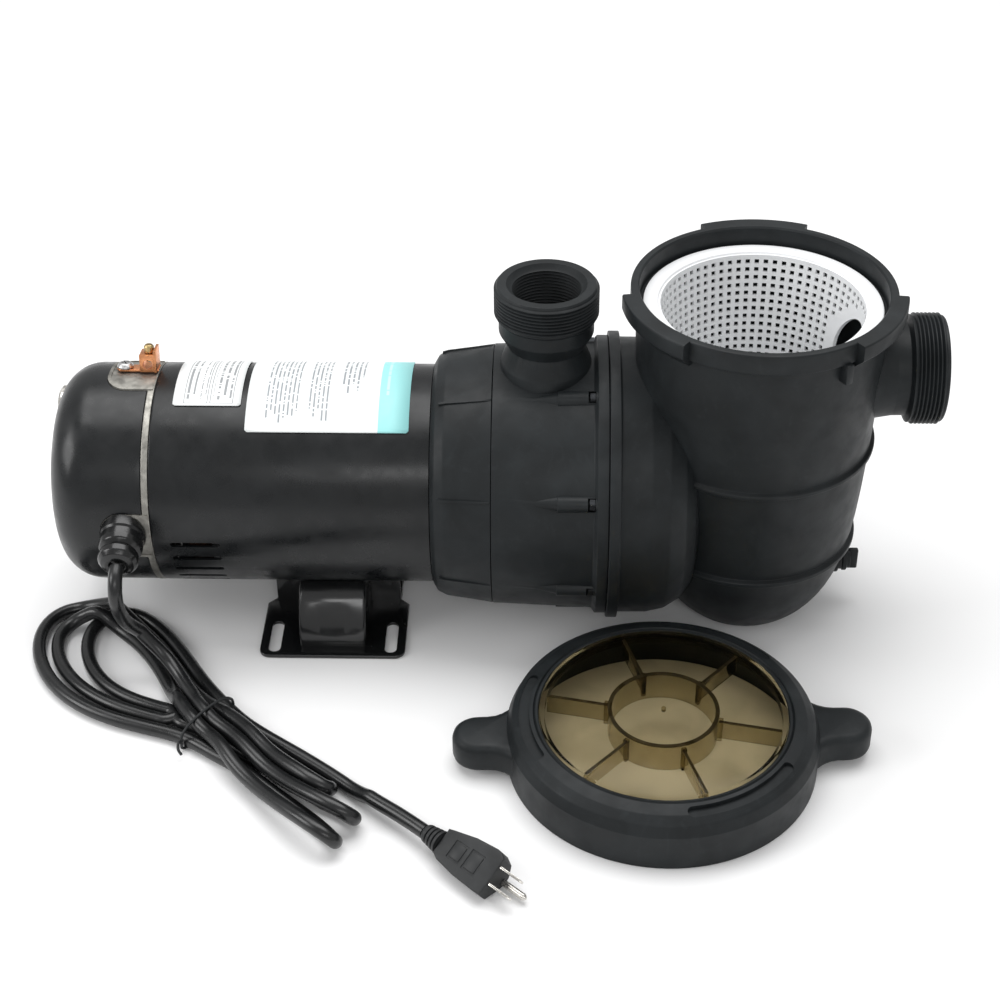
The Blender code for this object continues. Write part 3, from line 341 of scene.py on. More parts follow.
def lines_of_print(graph, along, angle, spans, pitch, ragged, seed):
    """Bars where lines of small print would be: each runs round the shell and ends at its own place."""
    row = graph.maths("FLOOR", graph.maths("DIVIDE", along, pitch))
    within = graph.maths("FRACT", graph.maths("DIVIDE", along, pitch))
    stripe = between(graph, within, 0.3, 0.72)
    end = graph.node("ShaderNodeTexWhiteNoise", {"noise_dimensions": "1D"},
                     W=graph.maths("ADD", row, seed)).outputs["Value"]
    low, high = ragged
    stop = graph.maths("ADD", graph.maths("MULTIPLY", end, high - low), low)
    reach = graph.maths("LESS_THAN", angle, stop)
    spot = graph.node("ShaderNodeCombineXYZ", X=graph.maths("FLOOR", graph.maths("MULTIPLY", angle, 1.15)),
                      Y=row, Z=seed)
    word = graph.node("ShaderNodeTexWhiteNoise", {"noise_dimensions": "3D"},
                      Vector=spot.outputs[0]).outputs["Value"]
    ink = graph.maths("MULTIPLY", graph.maths("MULTIPLY", stripe, reach),
                      graph.maths("GREATER_THAN", word, 0.2))
    inside = 0.0
    for first, last in spans:
        inside = graph.maths("ADD", inside, between(graph, along, first, last), clamp=True)
    return graph.maths("MULTIPLY", ink, inside)


def care_print(graph, along, angle):
    paper, teal, grey = (0.82, 0.85, 0.85), (0.33, 0.72, 0.72), (0.3, 0.32, 0.34)
    small = lines_of_print(graph, along, angle, [(-43, -19), (-12, 4)], 3.0, (20, 31), 3.0)
    large = lines_of_print(graph, along, angle, [(11, 26)], 3.4, (-2, 12), 11.0)
    title = lines_of_print(graph, along, angle, [(41.5, 46.5)], 4.6, (12, 13), 23.0)
    colour = graph.mix(graph.maths("MAXIMUM", small, large), paper, grey)
    colour = graph.mix(between(graph, along, 38.0, 61.0), colour, teal)
    return graph.mix(graph.maths("MULTIPLY", title, 0.45), colour, (0.75, 0.9, 0.9))


def rating_print(graph, along, angle):
    paper, grey = (0.82, 0.84, 0.84), (0.3, 0.31, 0.32)
    rows = lines_of_print(graph, along, angle, [(-98, -92), (-88, -84), (-79, -66)], 4.3, (13, 17), 5.0)
    border = 0.0
    for left, right in ((-99.5, -82.5), (-81.0, -64.5)):
        outer = graph.maths("MULTIPLY", between(graph, along, left, right),
                            graph.maths("LESS_THAN", angle, 19.0))
        inner = graph.maths("MULTIPLY", between(graph, along, left + 0.6, right - 0.6),
                            graph.maths("LESS_THAN", angle, 18.6))
        border = graph.maths("ADD", border, graph.maths("SUBTRACT", outer, inner), clamp=True)
    return graph.mix(graph.maths("MAXIMUM", rows, border), paper, grey)


CARE_LABEL = printed("care_label_print", care_print)
RATING_LABEL = printed("rating_label_print", rating_print)


# Shape helpers ------------------------------------------------------------------------------------

def link(name, mesh):
    item = bpy.data.objects.new(name, mesh)
    bpy.context.scene.collection.objects.link(item)
    return item


def from_builder(name, builder):
    """An object from a bmesh, whose sizes are in millimetres."""
    mesh = bpy.data.meshes.new(name)
    bmesh.ops.recalc_face_normals(builder, faces=builder.faces)
    bmesh.ops.scale(builder, vec=(MM, MM, MM), verts=builder.verts)
    builder.to_mesh(mesh)
    builder.free()
    return link(name, mesh)


def filleted(profile):
    """Turns profile corners (along, radius, fillet) into short arcs."""
    points = []
    count = len(profile)
    for index, corner in enumerate(profile):
        here = Vector(corner[:2])
        fillet = corner[2] if len(corner) > 2 else 0
        before = Vector(profile[index - 1][:2]) - here
        after = Vector(profile[(index + 1) % count][:2]) - here
        if not fillet or before.length < 1e-6 or after.length < 1e-6:
            points.append(here)
            continue
        half = before.angle(after) / 2
        reach = min(fillet / math.tan(half), before.length * 0.48, after.length * 0.48)
        start, end = here + before.normalized() * reach, here + after.normalized() * reach
        for step in range(6):
            t = step / 5
            points.append(start.lerp(here, t).lerp(here.lerp(end, t), t))
    return points


def aim(axis):
    return UP.rotation_difference(Vector(axis)).to_matrix().to_4x4()


def turned(name, profile, centre, axis, steps=FINE):
    """A turned solid: profile holds (along, radius) or (along, radius, fillet)."""
    points = filleted(profile)
    builder = bmesh.new()
    rings = []
    for along, radius in points:
        if radius < 1e-6:
            rings.append([builder.verts.new((0, 0, along))])
            continue
        rings.append([builder.verts.new((radius * math.cos(a), radius * math.sin(a), along))
                      for a in (2 * math.pi * i / steps for i in range(steps))])
    closed = all(radius > 1e-6 for _, radius in points)
    pairs = list(zip(rings, rings[1:])) + ([(rings[-1], rings[0])] if closed else [])
    for low, high in pairs:
        for i in range(steps):
            j = (i + 1) % steps
            face = [low[i % len(low)], low[j % len(low)], high[j % len(high)], high[i % len(high)]]
            face = list(dict.fromkeys(face))
            if len(face) > 2:
                builder.faces.new(face)
    builder.transform(Matrix.Translation(Vector(centre)) @ aim(axis))
    return from_builder(name, builder)


def rod(name, radius, start, end, centre, axis, steps=COARSE, tip=None, round_by=0.0):
    tip = radius if tip is None else tip
    return turned(name, [(start, 0), (start, radius, round_by), (end, tip, round_by), (end, 0)], centre,
                  axis, steps)


def transform(item, matrix):
    """Moves an object's mesh by a matrix whose lengths are in metres."""
    item.data.transform(matrix)
    return item


def block(name, low, high, bevel=0.0, segments=4):
    builder = bmesh.new()
    bmesh.ops.create_cube(builder, size=1.0)
    bmesh.ops.scale(builder, vec=Vector(high) - Vector(low), verts=builder.verts)
    bmesh.ops.translate(builder, vec=(Vector(high) + Vector(low)) / 2, verts=builder.verts)
    if bevel:
        bmesh.ops.bevel(builder, geom=builder.edges[:], offset=bevel, segments=segments, profile=0.5,
                        affect="EDGES")
    return from_builder(name, builder)


def sheet(name, outlines, low, high, bevel=0.0, matrix=None):
    """A flat piece from closed outlines, the first its edge and the others holes, with rounded edges."""
    curve = bpy.data.curves.new(name, "CURVE")
    curve.dimensions = "2D"
    curve.fill_mode = "BOTH"
    curve.extrude = max((high - low) / 2 - bevel, 0) * MM
    curve.bevel_depth = bevel * MM
    curve.bevel_resolution = 2
    curve.offset = -bevel * MM
    for outline in outlines:
        line = curve.splines.new("POLY")
        line.points.add(len(outline) - 1)
        for point, (x, y) in zip(line.points, outline):
            point.co = (x * MM, y * MM, 0, 1)
        line.use_cyclic_u = True
    flat = bpy.data.objects.new(name, curve)
    bpy.context.scene.collection.objects.link(flat)
    graph = bpy.context.evaluated_depsgraph_get()
    mesh = bpy.data.meshes.new_from_object(flat.evaluated_get(graph))
    bpy.data.objects.remove(flat)
    builder = bmesh.new()
    builder.from_mesh(mesh)
    bmesh.ops.remove_doubles(builder, verts=builder.verts, dist=1e-6)
    bmesh.ops.scale(builder, vec=(1 / MM,) * 3, verts=builder.verts)
    bmesh.ops.translate(builder, vec=(0, 0, (low + high) / 2), verts=builder.verts)
    item = from_builder(name, builder)
    return item if matrix is None else transform(item, matrix)


def combine(item, others, operation="UNION"):
    """Applies booleans with the other objects and removes them."""
    for other in others:
        step = item.modifiers.new("step", "BOOLEAN")
        step.operation = operation
        step.solver = "EXACT"
        step.object = other
    graph = bpy.context.evaluated_depsgraph_get()
    mesh = bpy.data.meshes.new_from_object(item.evaluated_get(graph))
    item.modifiers.clear()
    item.data = mesh
    for other in others:
        bpy.data.objects.remove(other)
    return item


def cut(item, *others):
    return combine(item, others, "DIFFERENCE")


def join(item, *others):
    return combine(item, others, "UNION")


def gather(item, *others):
    """Puts other objects' meshes into one piece without joining their surfaces."""
    builder = bmesh.new()
    for part in (item, *others):
        builder.from_mesh(part.data)
    builder.to_mesh(item.data)
    builder.free()
    for other in others:
        bpy.data.objects.remove(other)
    return item


def rounded(half_length, half_width, steps=10):
    """A stadium outline, with its long side along X."""
    reach = half_length - half_width
    ends = []
    for centre, first in ((reach, -90), (-reach, 90)):
        for step in range(steps + 1):
            angle = math.radians(first + 180 * step / steps)
            ends.append((centre + half_width * math.cos(angle), half_width * math.sin(angle)))
    return ends


def arc(centre, radius, first, last, steps):
    angles = [math.radians(first + (last - first) * i / steps) for i in range(steps + 1)]
    return [(centre[0] + radius * math.cos(a), centre[1] + radius * math.sin(a)) for a in angles]


def on_axis(x=0.0):
    return (x, 0, AXIS_HEIGHT)


def outward(angle):
    return Vector((0, -math.sin(math.radians(angle)), math.cos(math.radians(angle))))


def radial_frame(x, angle):
    return Matrix.Translation(Vector(on_axis(x)) * MM) @ Matrix.Rotation(math.radians(angle), 4, "X")


def turn_about(centre, degrees):
    return Matrix.Translation(Vector(centre) * MM) @ Matrix.Rotation(math.radians(degrees), 4, "Z")


def piece(item, finish, nodes=(), body="pump", smooth=32):
    """Finishes a piece: shading, material, the nodes it stands for and the body it rides on."""
    if item.type == "MESH":
        item.data.materials.clear()
        item.data.materials.append(finish)
        item.data.shade_smooth()
        item.data.set_sharp_from_angle(angle=math.radians(smooth))
    else:
        item.data.materials.append(finish)
    if nodes:
        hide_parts(*nodes)
    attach(item, body)
    return item


# Cord ---------------------------------------------------------------------------------------------

def hank(along, across, height):
    """A point beside the hank's waist, along its run and across it."""
    spot = WAIST + RUN * along + ACROSS * across
    return Vector((spot.x, spot.y, height))


def fold(along, across, radius, lean):
    """A strand's turn at the hank's right end: it arches over and comes back along the floor."""
    points = []
    for step in range(9):
        angle = math.radians(90 - 22.5 * step)
        side = across - math.sin(math.radians(lean)) * radius * (1 + math.sin(angle))
        height = LOW + math.cos(math.radians(lean)) * radius * (1 + math.sin(angle))
        points.append(hank(along + radius * math.cos(angle), side, height))
    return points


def strand(across, height, spots=(-14, 0, 14)):
    return [hank(along, across, height) for along in spots]


def flat_loop(outline, heights):
    return [Vector((x, y, z)) for (x, y), z in zip(outline, heights)]


def cord_route():
    drop = [Vector(p) / MM for p in DROP_ROUTE]
    lead = [Vector(p) / MM for p in PLUG_ROUTE]
    level = [LOW] * 15
    raised = [LOW] * 7 + [8, 13, 16, 16, 14, 9, LOW, LOW]
    outer_raised = [LOW] * 9 + [8, 13, 16, 13, 8, 9]
    route = list(drop)
    route += strand(0, HIGH + 1)
    route += [hank(50, -8, 16), hank(95, -12.5, 23), hank(122, -14.5, 31)] + fold(140, 3.8, 17, 33)
    route += [hank(95, -1.5, LOW), hank(50, 2, LOW)] + strand(5.1, LOW, (14, 0, -14))
    route += flat_loop(MIDDLE_LOOP, raised) + strand(-10.2, HIGH)
    route += [hank(50, -22, 15), hank(100, -31, 23)] + fold(146, -21, 16, 30)
    route += [hank(100, -19.5, LOW), hank(50, -17, LOW)] + strand(-15.3, LOW, (14, 0, -14))
    route += flat_loop(OUTER_LOOP, outer_raised) + strand(10.2, HIGH)
    route += [hank(45, 4, 18), hank(80, -3, 26)] + fold(112, 9, 15, 33)
    route += [hank(80, 6, LOW), hank(50, -4, LOW)] + strand(-5.1, LOW, (14, 0, -14))
    route += flat_loop(INNER_LOOP, level) + strand(15.3, LOW)
    route += [Vector((-33, -178, LOW)), Vector((-11, -193, 6)), Vector((11, -211, 7.5))]
    return route + lead


def smooth_route(points, per_span=1):
    """Catmull-Rom points through a route."""
    route = [Vector(p) for p in points]
    padded = [2 * route[0] - route[1]] + route + [2 * route[-1] - route[-2]]
    smooth = []
    for a, b, c, d in zip(padded, padded[1:], padded[2:], padded[3:]):
        for step in range(per_span):
            t = step / per_span
            smooth.append(0.5 * (2 * b + (c - a) * t + (2 * a - 5 * b + 4 * c - d) * t ** 2
                                 + (3 * b - a - 3 * c + d) * t ** 3))
    return smooth + [route[-1]]


def evenly(points, spacing):
    """Points a fixed distance apart along a path."""
    points = np.array([tuple(p) for p in points])
    reach = np.concatenate([[0], np.cumsum(np.linalg.norm(np.diff(points, axis=0), axis=1))])
    count = int(round(reach[-1] / spacing)) + 1
    spots = np.linspace(0, reach[-1], count)
    return np.stack([np.interp(spots, reach, points[:, k]) for k in range(3)], axis=1)


def settle(points):
    """Pushes strands a diameter apart, keeps them off the floor and evens out their bends."""
    gap = 2 * CORD_RADIUS + STRAND_GAP
    count = len(points)
    index = np.arange(count)
    apart = np.abs(index[:, None] - index[None, :]) > 8
    free = np.ones((count, 1))
    free[:HELD_AT_GLAND] = 0
    free[count - HELD_AT_PLUG:] = 0
    for turn in range(SETTLING + SMOOTHING):
        offset = points[:, None, :] - points[None, :, :]
        distance = np.linalg.norm(offset, axis=2) + 1e-9
        close = apart & (distance < gap)
        push = np.where(close, (gap - distance) / distance, 0)[:, :, None] * offset
        bend = np.zeros_like(points)
        bend[1:-1] = 0.5 * (points[:-2] + points[2:]) - points[1:-1]
        step = 0.35 * push.sum(axis=1)
        step += (0.22 if turn < SETTLING else 0.3) * bend
        step[:, 2] -= 0.04
        points = points + free * step
        points[:, 2] = np.maximum(points[:, 2], CORD_RADIUS + 0.15)
    return points


def cord():
    dense = smooth_route(cord_route(), 6)
    points = settle(evenly(dense, 4.0))
    curve = bpy.data.curves.new("power_cord", "CURVE")
    curve.dimensions = "3D"
    curve.bevel_depth = CORD_RADIUS * MM
    curve.bevel_resolution = 8
    curve.use_fill_caps = True
    line = curve.splines.new("POLY")
    smooth = smooth_route([Vector(p) for p in points], 2)
    line.points.add(len(smooth) - 1)
    for point, spot in zip(line.points, smooth):
        point.co = (*(spot * MM), 1)
    line.use_smooth = True
    item = bpy.data.objects.new("power_cord", curve)
    bpy.context.scene.collection.objects.link(item)
    return piece(item, JACKET, ("cord_drop", "cord_hank", "cord_plug_end"))


def cord_tie():
    """A twist tie round the hank's waist, with its ends twisted together on top."""
    over = [hank(1, -27, 8), hank(1, -24, 15), hank(1, -14, 19.6), hank(0.5, 0, 20.9), hank(0, 14, 19.6),
            hank(0, 22, 14), hank(0, 23.5, 7)]
    under = [hank(0, 22, 1.2), hank(0, 0, 1.1), hank(1, -24, 1.2)]
    ring = smooth_route(over + under + [over[0]], 8)
    tail = smooth_route([hank(1, -26, 9), hank(2, -30, 10), hank(5, -33, 8), hank(8, -33, 5)], 6)
    strips = []
    for number, path in enumerate((ring, tail)):
        curve = bpy.data.curves.new(f"tie_{number}", "CURVE")
        curve.dimensions = "3D"
        curve.bevel_depth = 1.0 * MM
        curve.bevel_resolution = 3
        curve.use_fill_caps = True
        line = curve.splines.new("POLY")
        line.points.add(len(path) - 1)
        for point, spot in zip(line.points, path):
            point.co = (*(spot * MM), 1)
        strips.append(bpy.data.objects.new(f"tie_{number}", curve))
        bpy.context.scene.collection.objects.link(strips[-1])
    graph = bpy.context.evaluated_depsgraph_get()
    meshes = [bpy.data.meshes.new_from_object(s.evaluated_get(graph)) for s in strips]
    for strip in strips:
        bpy.data.objects.remove(strip)
    tie = gather(link("twist_tie", meshes[0]), link("tie_tail", meshes[1]))
    return piece(tie, RUBBER, ("cord_tie",))


def plug_frame():
    return (Matrix.Translation(PLUG_AT * MM) @ Matrix.Rotation(math.radians(PLUG_TURN), 4, "Z")
            @ Matrix.Rotation(math.radians(PLUG_ROLL), 4, "X"))


def plug_pieces():
    here = plug_frame()
    profile = [(-61.2, 0), (-61.2, 5.6, 0.6)]
    for ring in range(4):
        x = -59.6 + 3.4 * ring
        radius = 6.3 + 0.55 * ring
        profile += [(x, radius, 0.5), (x + 2.2, radius + 0.25, 0.5), (x + 2.3, radius - 1.2),
                    (x + 3.2, radius - 1.1)]
    profile += [(-46.4, 8.2, 0.6), (-46.4, 0)]
    relief = transform(turned("cord_strain_relief", profile, (0, -2.6, -0.9), ALONG, COARSE), here)
    piece(relief, PLUG_RUBBER, ("plug_strain_relief",))
    top = [(-46, -10.6), (-41, -13), (-25, -15.2), (-8, -15.8), (0, -15.6), (0, 11.6), (-4, 14.4),
           (-8, 14.8), (-25, 13), (-41, 9), (-46, 7.6)]
    body = sheet("plug_moulding", [top], -16.2, 4.6, 1.2)
    side = [(-48, 7), (2, 7), (2, -16.2), (-16, -16.2), (-34, -12), (-48, -9.5)]
    face = [(-17, 7), (-17, -4), (-10, -9.6), (-4.6, -13.3), (0, -15.6), (4.6, -14.8), (10, -10), (16, -4),
            (16, 7)]
    upright = Matrix(((1, 0, 0, 0), (0, 0, 1, 0), (0, 1, 0, 0), (0, 0, 0, 1)))
    across = Matrix(((0, 0, 1, 0), (1, 0, 0, 0), (0, 1, 0, 0), (0, 0, 0, 1)))
    combine(body, [sheet("side", [side], -30, 30, matrix=upright)], "INTERSECT")
    combine(body, [sheet("face", [face], -60, 30, matrix=across)], "INTERSECT")
    for low, high in (((-36, -8, 3.9), (-25, 5, 6)), ((-22.5, -8.5, 3.9), (-11, 6, 6))):
        cut(body, block("panel", low, high, 0.5, 2))
        inner_low = (low[0] + 1.3, low[1] + 1.3, 3.0)
        inner_high = (high[0] - 1.3, high[1] - 1.3, 4.5)
        join(body, block("panel_field", inner_low, inner_high, 0.3, 2))
    body.modifiers.new("soften", "BEVEL").width = 0.35 * MM
    body.modifiers["soften"].segments = 2
    body.modifiers["soften"].limit_method = "ANGLE"
    transform(body, here)
    piece(body, PLUG_RUBBER, ("plug_body",))
    for number, y in enumerate((BLADE_SPACING / 2, -BLADE_SPACING / 2)):
        outline = [(0.4, -3.2), (14.8, -3.2), (17.5, -1.7), (17.5, 1.7), (14.8, 3.2), (0.4, 3.2)]
        hole = arc((13.4, 0), 1.5, 0, 330, 11)
        blade = sheet(f"contact_blade_{number + 1}", [outline, hole], y - 0.8, y + 0.8, 0.25, upright)
        piece(transform(blade, here), NICKEL, (f"plug_blade_{number + 1}",))
    pin = turned("contact_pin", [(0.4, 0), (0.4, 2.4), (18.2, 2.4, 1.6), (20.3, 0.9, 0.6), (20.3, 0)],
                 (0, 0, -PIN_DROP), ALONG, COARSE)
    piece(transform(pin, here), NICKEL, ("plug_ground_pin",))
    contacts = ("contact_blade_1", "contact_blade_2", "contact_pin")
    return [relief, body] + [bpy.data.objects[name] for name in contacts]


CORD = cord()
TIE = cord_tie()
ON_CORD = plug_pieces()


# Motor --------------------------------------------------------------------------------------------

TABS = ((PAD_ANGLE, PAD_HALF, PAD_CORNER), (PORT_ANGLE, PORT_HALF, PORT_CORNER))


def boss_outline(half, corner, grow=0.0):
    """A tab that runs from the band to a tip with round corners."""
    end = BAND_RIGHT - 1.0
    side = half - corner
    return ([(end, -half - grow), (end, half + grow)]
            + arc((BOSS_TIP + corner, side), corner + grow, 90, 180, 12)
            + arc((BOSS_TIP + corner, -side), corner + grow, 180, 270, 12))


def motor_shell():
    shell = turned("shell_tube", [
        (SHELL_LEFT, SHELL_RADIUS - 0.3, 0.3), (SHELL_LEFT + 1.2, SHELL_RADIUS),
        (SHELL_RIGHT, SHELL_RADIUS, 0.4),
        (SHELL_RIGHT, SHELL_RADIUS - 2), (SHELL_LEFT, SHELL_RADIUS - 2)], on_axis(), ALONG)
    for side in (1, -1):
        for row in range(5):
            slot = sheet("vent", [rounded(17.5, 2.1)], 70, 90,
                         matrix=radial_frame(-91.5, side * (96.4 + 10.1 * row)))
            cut(shell, slot)
    piece(shell, BLACK_PAINT, ("motor_shell",))


def rear_end_frame():
    band = turned("end_frame_casting", [(BAND_LEFT, SHELL_RADIUS + 0.1, 0.8),
                                        (BAND_RIGHT, SHELL_RADIUS + 0.1, 0.8),
                                        (BAND_RIGHT, 64), (BAND_LEFT, 64)], on_axis(), ALONG)
    join(band, turned("hub", [(-133, 26, 1.5), (-116, 26, 1.5), (-116, 20.4), (-133, 20.4)], on_axis(),
                      ALONG, COARSE))
    for angle in (45, 135, 225, 315):
        join(band, transform(block("spoke", (BAND_LEFT + 0.3, -6, 24), (BAND_RIGHT - 0.3, 6, 66)),
                             radial_frame(0, angle)))
    for angle, half, corner in TABS:
        tab = sheet("tab", [boss_outline(half, corner)], 60, 95, matrix=radial_frame(0, angle))
        skin = turned("skin", [(BOSS_TIP - 5, BOSS_TOP), (BAND_RIGHT - 0.8, BOSS_TOP),
                               (BAND_RIGHT - 0.8, 75.5), (BOSS_TIP - 5, 75.5)], on_axis(), ALONG)
        combine(skin, [tab], "INTERSECT")
        field = sheet("field", [boss_outline(half - 2.2, corner - 2.2, 0)], 60, 95,
                      matrix=radial_frame(2.2, angle))
        sink = turned("sink", [(BOSS_TIP - 5, 90), (BAND_RIGHT + 3, 90), (BAND_RIGHT + 3, BOSS_TOP - 0.6),
                               (BOSS_TIP - 5, BOSS_TOP - 0.6)], on_axis(), ALONG)
        combine(sink, [field], "INTERSECT")
        cut(skin, sink)
        join(band, skin)
    cut(band, rod("lug_hole", 2.6, 60, 90, (-146, 0, AXIS_HEIGHT), outward(PAD_ANGLE)),
        rod("cord_hole", 11.0, 60, 90, (-141, 0, AXIS_HEIGHT), outward(PORT_ANGLE)))
    for index in range(4):
        centre = Vector(on_axis()) + outward(30 + 90 * index) * 72
        cut(band, rod("through_hole", 3.0, -130, -118, centre, ALONG, 24))
    piece(band, CAST, ("rear_end_frame",))


def end_cover():
    lip = SHELL_RADIUS - 0.2
    outer = [(COVER_LEFT, 0), (COVER_LEFT, 38)]
    outer += [(COVER_LEFT + COVER_CORNER * (1 - math.cos(a)),
               lip - COVER_CORNER + COVER_CORNER * math.sin(a))
              for a in (math.radians(6 * i) for i in range(16))]
    outer += [(-131, lip, 0.5), (BAND_LEFT - 0.4, lip, 0.5)]
    wall = 1.6
    bend = COVER_CORNER - wall
    inner = [(COVER_LEFT + wall, 0)]
    inner += [(COVER_LEFT + COVER_CORNER - bend * math.cos(a), lip - COVER_CORNER + bend * math.sin(a))
              for a in (math.radians(15 * i) for i in range(7))]
    inner += [(BAND_LEFT - 0.4, lip - wall)]
    cover = turned("end_bell", outer + inner[::-1], on_axis(), ALONG)
    for angle, half, corner in TABS:
        cut(cover, sheet("notch", [boss_outline(half, corner, 0.4)], 60, 95, matrix=radial_frame(0, angle)))
    piece(cover, BLACK_PAINT, ("end_cover",))


def wrapped_label(name, node, x_low, x_high, top, bottom, finish):
    """A thin label round the shell, with round corners, between two angles from the top to the front."""
    rows, columns = 60, 8
    builder = bmesh.new()
    grid = []
    for row in range(rows + 1):
        share = row / rows
        angle = top + (bottom - top) * share
        edge = min(row, rows - row) / rows * math.radians(bottom - top) * SHELL_RADIUS
        inset = 1.6 - math.sqrt(max(0.0, 1.6 ** 2 - max(0.0, 1.6 - edge) ** 2)) if edge < 1.6 else 0.0
        spot = outward(angle) * (SHELL_RADIUS + 0.75)
        line = []
        for column in range(columns + 1):
            x = x_low + inset + (x_high - x_low - 2 * inset) * column / columns
            line.append(builder.verts.new((x, spot.y, spot.z + AXIS_HEIGHT)))
        grid.append(line)
    for low, high in zip(grid, grid[1:]):
        for a, b, c, d in zip(low, low[1:], high[1:], high):
            builder.faces.new((a, b, c, d))
    item = from_builder(name, builder)
    thick = item.modifiers.new("thickness", "SOLIDIFY")
    thick.thickness = 0.3 * MM
    thick.offset = 0
    piece(item, finish, (node,))


def ground_lug():
    here = radial_frame(0, PAD_ANGLE)
    low = BOSS_TOP + 0.4
    tab = sheet("lug_tab", [[(-121.5, -5), (-121.5, 5), (-147, 5)] + arc((-147, 0), 5, 90, 270, 10)],
                low, low + 1.4, 0.3)
    box = block("box", (-134.5, -6.5, low + 0.2), (-122.6, 6.5, 94), 0.5, 2)
    wall = block("wall", (-124.2, -7.2, low + 0.2), (-122.2, 7.2, 97.5), 0.4, 2)
    join(tab, box, wall)
    cut(tab, rod("channel", 3.6, -20, 20, (-128.6, 0, 86.8), (0, 1, 0)),
        rod("screw_hole", 2.6, low - 3, 99, (-146, 0, 0), UP, 32),
        rod("clamp_hole", 3.2, 86.8, 99, (-128, 0, 0), UP, 32))
    piece(transform(tab, here), COPPER, ("ground_lug",))
    seat = low + 1.8
    screw = turned("lug_screw", [(72, 0), (72, 2.2), (seat, 2.2), (seat, 5.9, 0.3), (seat + 1.2, 5.9, 0.8),
                                 (seat + 3.3, 4.0, 1.5), (seat + 3.6, 0)], (0, 0, 0), UP, COARSE)
    for turn in (25, 115):
        cross = block("cross", (-2.8, -0.55, seat + 1.6), (2.8, 0.55, seat + 6))
        cut(screw, transform(cross, Matrix.Rotation(math.radians(turn), 4, "Z")))
    transform(screw, here @ Matrix.Translation(Vector((-146, 0, 0)) * MM))
    piece(screw, STEEL, ("lug_mount_screw",))
    clamp = turned("clamp_screw", [(88, 0), (88, 2.8), (94.4, 2.8), (94.4, 3.6, 0.4), (98.5, 3.6, 0.8),
                                   (100, 2.4, 0.6), (100, 0)], (0, 0, 0), UP, COARSE)
    cut(clamp, block("slot", (-5, -0.5, 98.4), (5, 0.5, 102)))
    transform(clamp, here @ Matrix.Translation(Vector((-128, 0, 0)) * MM))
    piece(clamp, BRASS, ("wire_clamp_screw",))


def foot_profile(offset):
    under = SHELL_RADIUS + 0.4 + offset
    top = [(y, AXIS_HEIGHT - math.sqrt(under ** 2 - y ** 2)) for y in range(-48, -18, 3)]
    front = [(-74 + offset, -2 if offset else 0.4), (-73.6 + offset, 5), (-72.5 + offset, 12),
             (-70.4 + offset, 18),
             (-67.5 + offset, 24), (-64 + offset, 30), (-60 + offset, 35), (-55 + offset, 41)]
    return front + top + [(-19, -2 if offset else 1)]


def motor_foot():
    corner = 8
    outline = []
    for sx, sy, first in ((1, 1, 0), (-1, 1, 90), (-1, -1, 180), (1, -1, 270)):
        turn = arc((sx * (FOOT_HALF_X - corner), sy * (FOOT_HALF_Y - corner)), corner, first, first + 90, 8)
        notch = [(sx * FOOT_HALF_X, sy * (FOOT_NECK_Y + 2)),
                 (sx * (FOOT_NECK_X + 0.6), sy * (FOOT_NECK_Y - 4))]
        outline += (notch[::-1] + turn) if first in (0, 180) else (turn + notch)
    slots = [[(x + sx * SLOT_X, y + sy * SLOT_Y) for y, x in rounded(SLOT_LENGTH / 2, SLOT_WIDTH / 2)]
             for sx in (1, -1) for sy in (1, -1)]
    foot = sheet("foot_pressing", [outline] + slots, 0, FOOT_PLATE, 0.7)
    for side in (1, -1):
        spin = Matrix.Rotation(math.pi if side < 0 else 0, 4, "Z")
        web = block("web", (-FOOT_NECK_X, -FOOT_NECK_Y + 2.2, 1), (FOOT_NECK_X, -FOOT_NECK_Y + 4.8, 29.2),
                    0.6, 2)
        lean = spin @ Matrix(((0, 0, 1, 0), (1, 0, 0, 0), (0, 1, 0, 0), (0, 0, 0, 1)))
        hump = sheet("hump_block", [foot_profile(0)], -HUMP_HALF, HUMP_HALF, 2.6, lean)
        hollow = sheet("hump_hollow", [foot_profile(2.8)], -HUMP_HALF + 2.8, HUMP_HALF - 2.8, 0, lean)
        dish = rod("dish", 90, -34, 30, (0, -148.6, 60.2), (0, 0.447, 0.894), 288)
        transform(web, spin)
        transform(dish, spin)
        join(foot, web)
        cut(hump, dish)
        join(foot, hump)
        cut(foot, hollow)
    piece(foot, GLOSS_PAINT, ("motor_foot",))


def cord_gland():
    tilt = math.radians(GLAND_TILT)
    axis = Vector((0, -math.cos(tilt), -math.sin(tilt)))
    body = turned("gland_hood", [(-12, 0), (-12, 16.3), (4, 16.3, 2), (6, 15.4, 1), (11.5, 15.6, 2),
                                 (15.5, 14.8, 3), (18.6, 11.5, 2), (18.6, 0)], GLAND_BASE, axis)
    cut(body, rod("seat", BOSS_TOP + 0.4, -180, -100, on_axis(), ALONG, FINE))
    piece(body, GLAND, ("gland_body",))
    nut = turned("gland_ring", [(19, 0), (19, 13.4, 1), (21, 14.1, 1.5), (25.5, 14.1, 2.5), (28.8, 11.6, 2),
                                (30, 8.4, 0.8), (30, 5.6, 0.6), (27, 5.3), (27, 0)], GLAND_BASE, axis)
    piece(nut, GLAND, ("gland_nut",))


# Wet end ------------------------------------------------------------------------------------------

def rib_angles():
    return [RIB_START + 360 / RIB_COUNT * index for index in range(RIB_COUNT)]


def ridges(start, end, inner, outer, pitch):
    """Thread crests along a turned surface, from start to end."""
    count = int(abs(end - start) / pitch)
    step = (end - start) / count
    points = []
    for index in range(count):
        base = start + index * step
        points += [(base, inner), (base + 0.38 * step, outer, 0.3), (base + 0.62 * step, outer, 0.3)]
    return points + [(end, inner)]


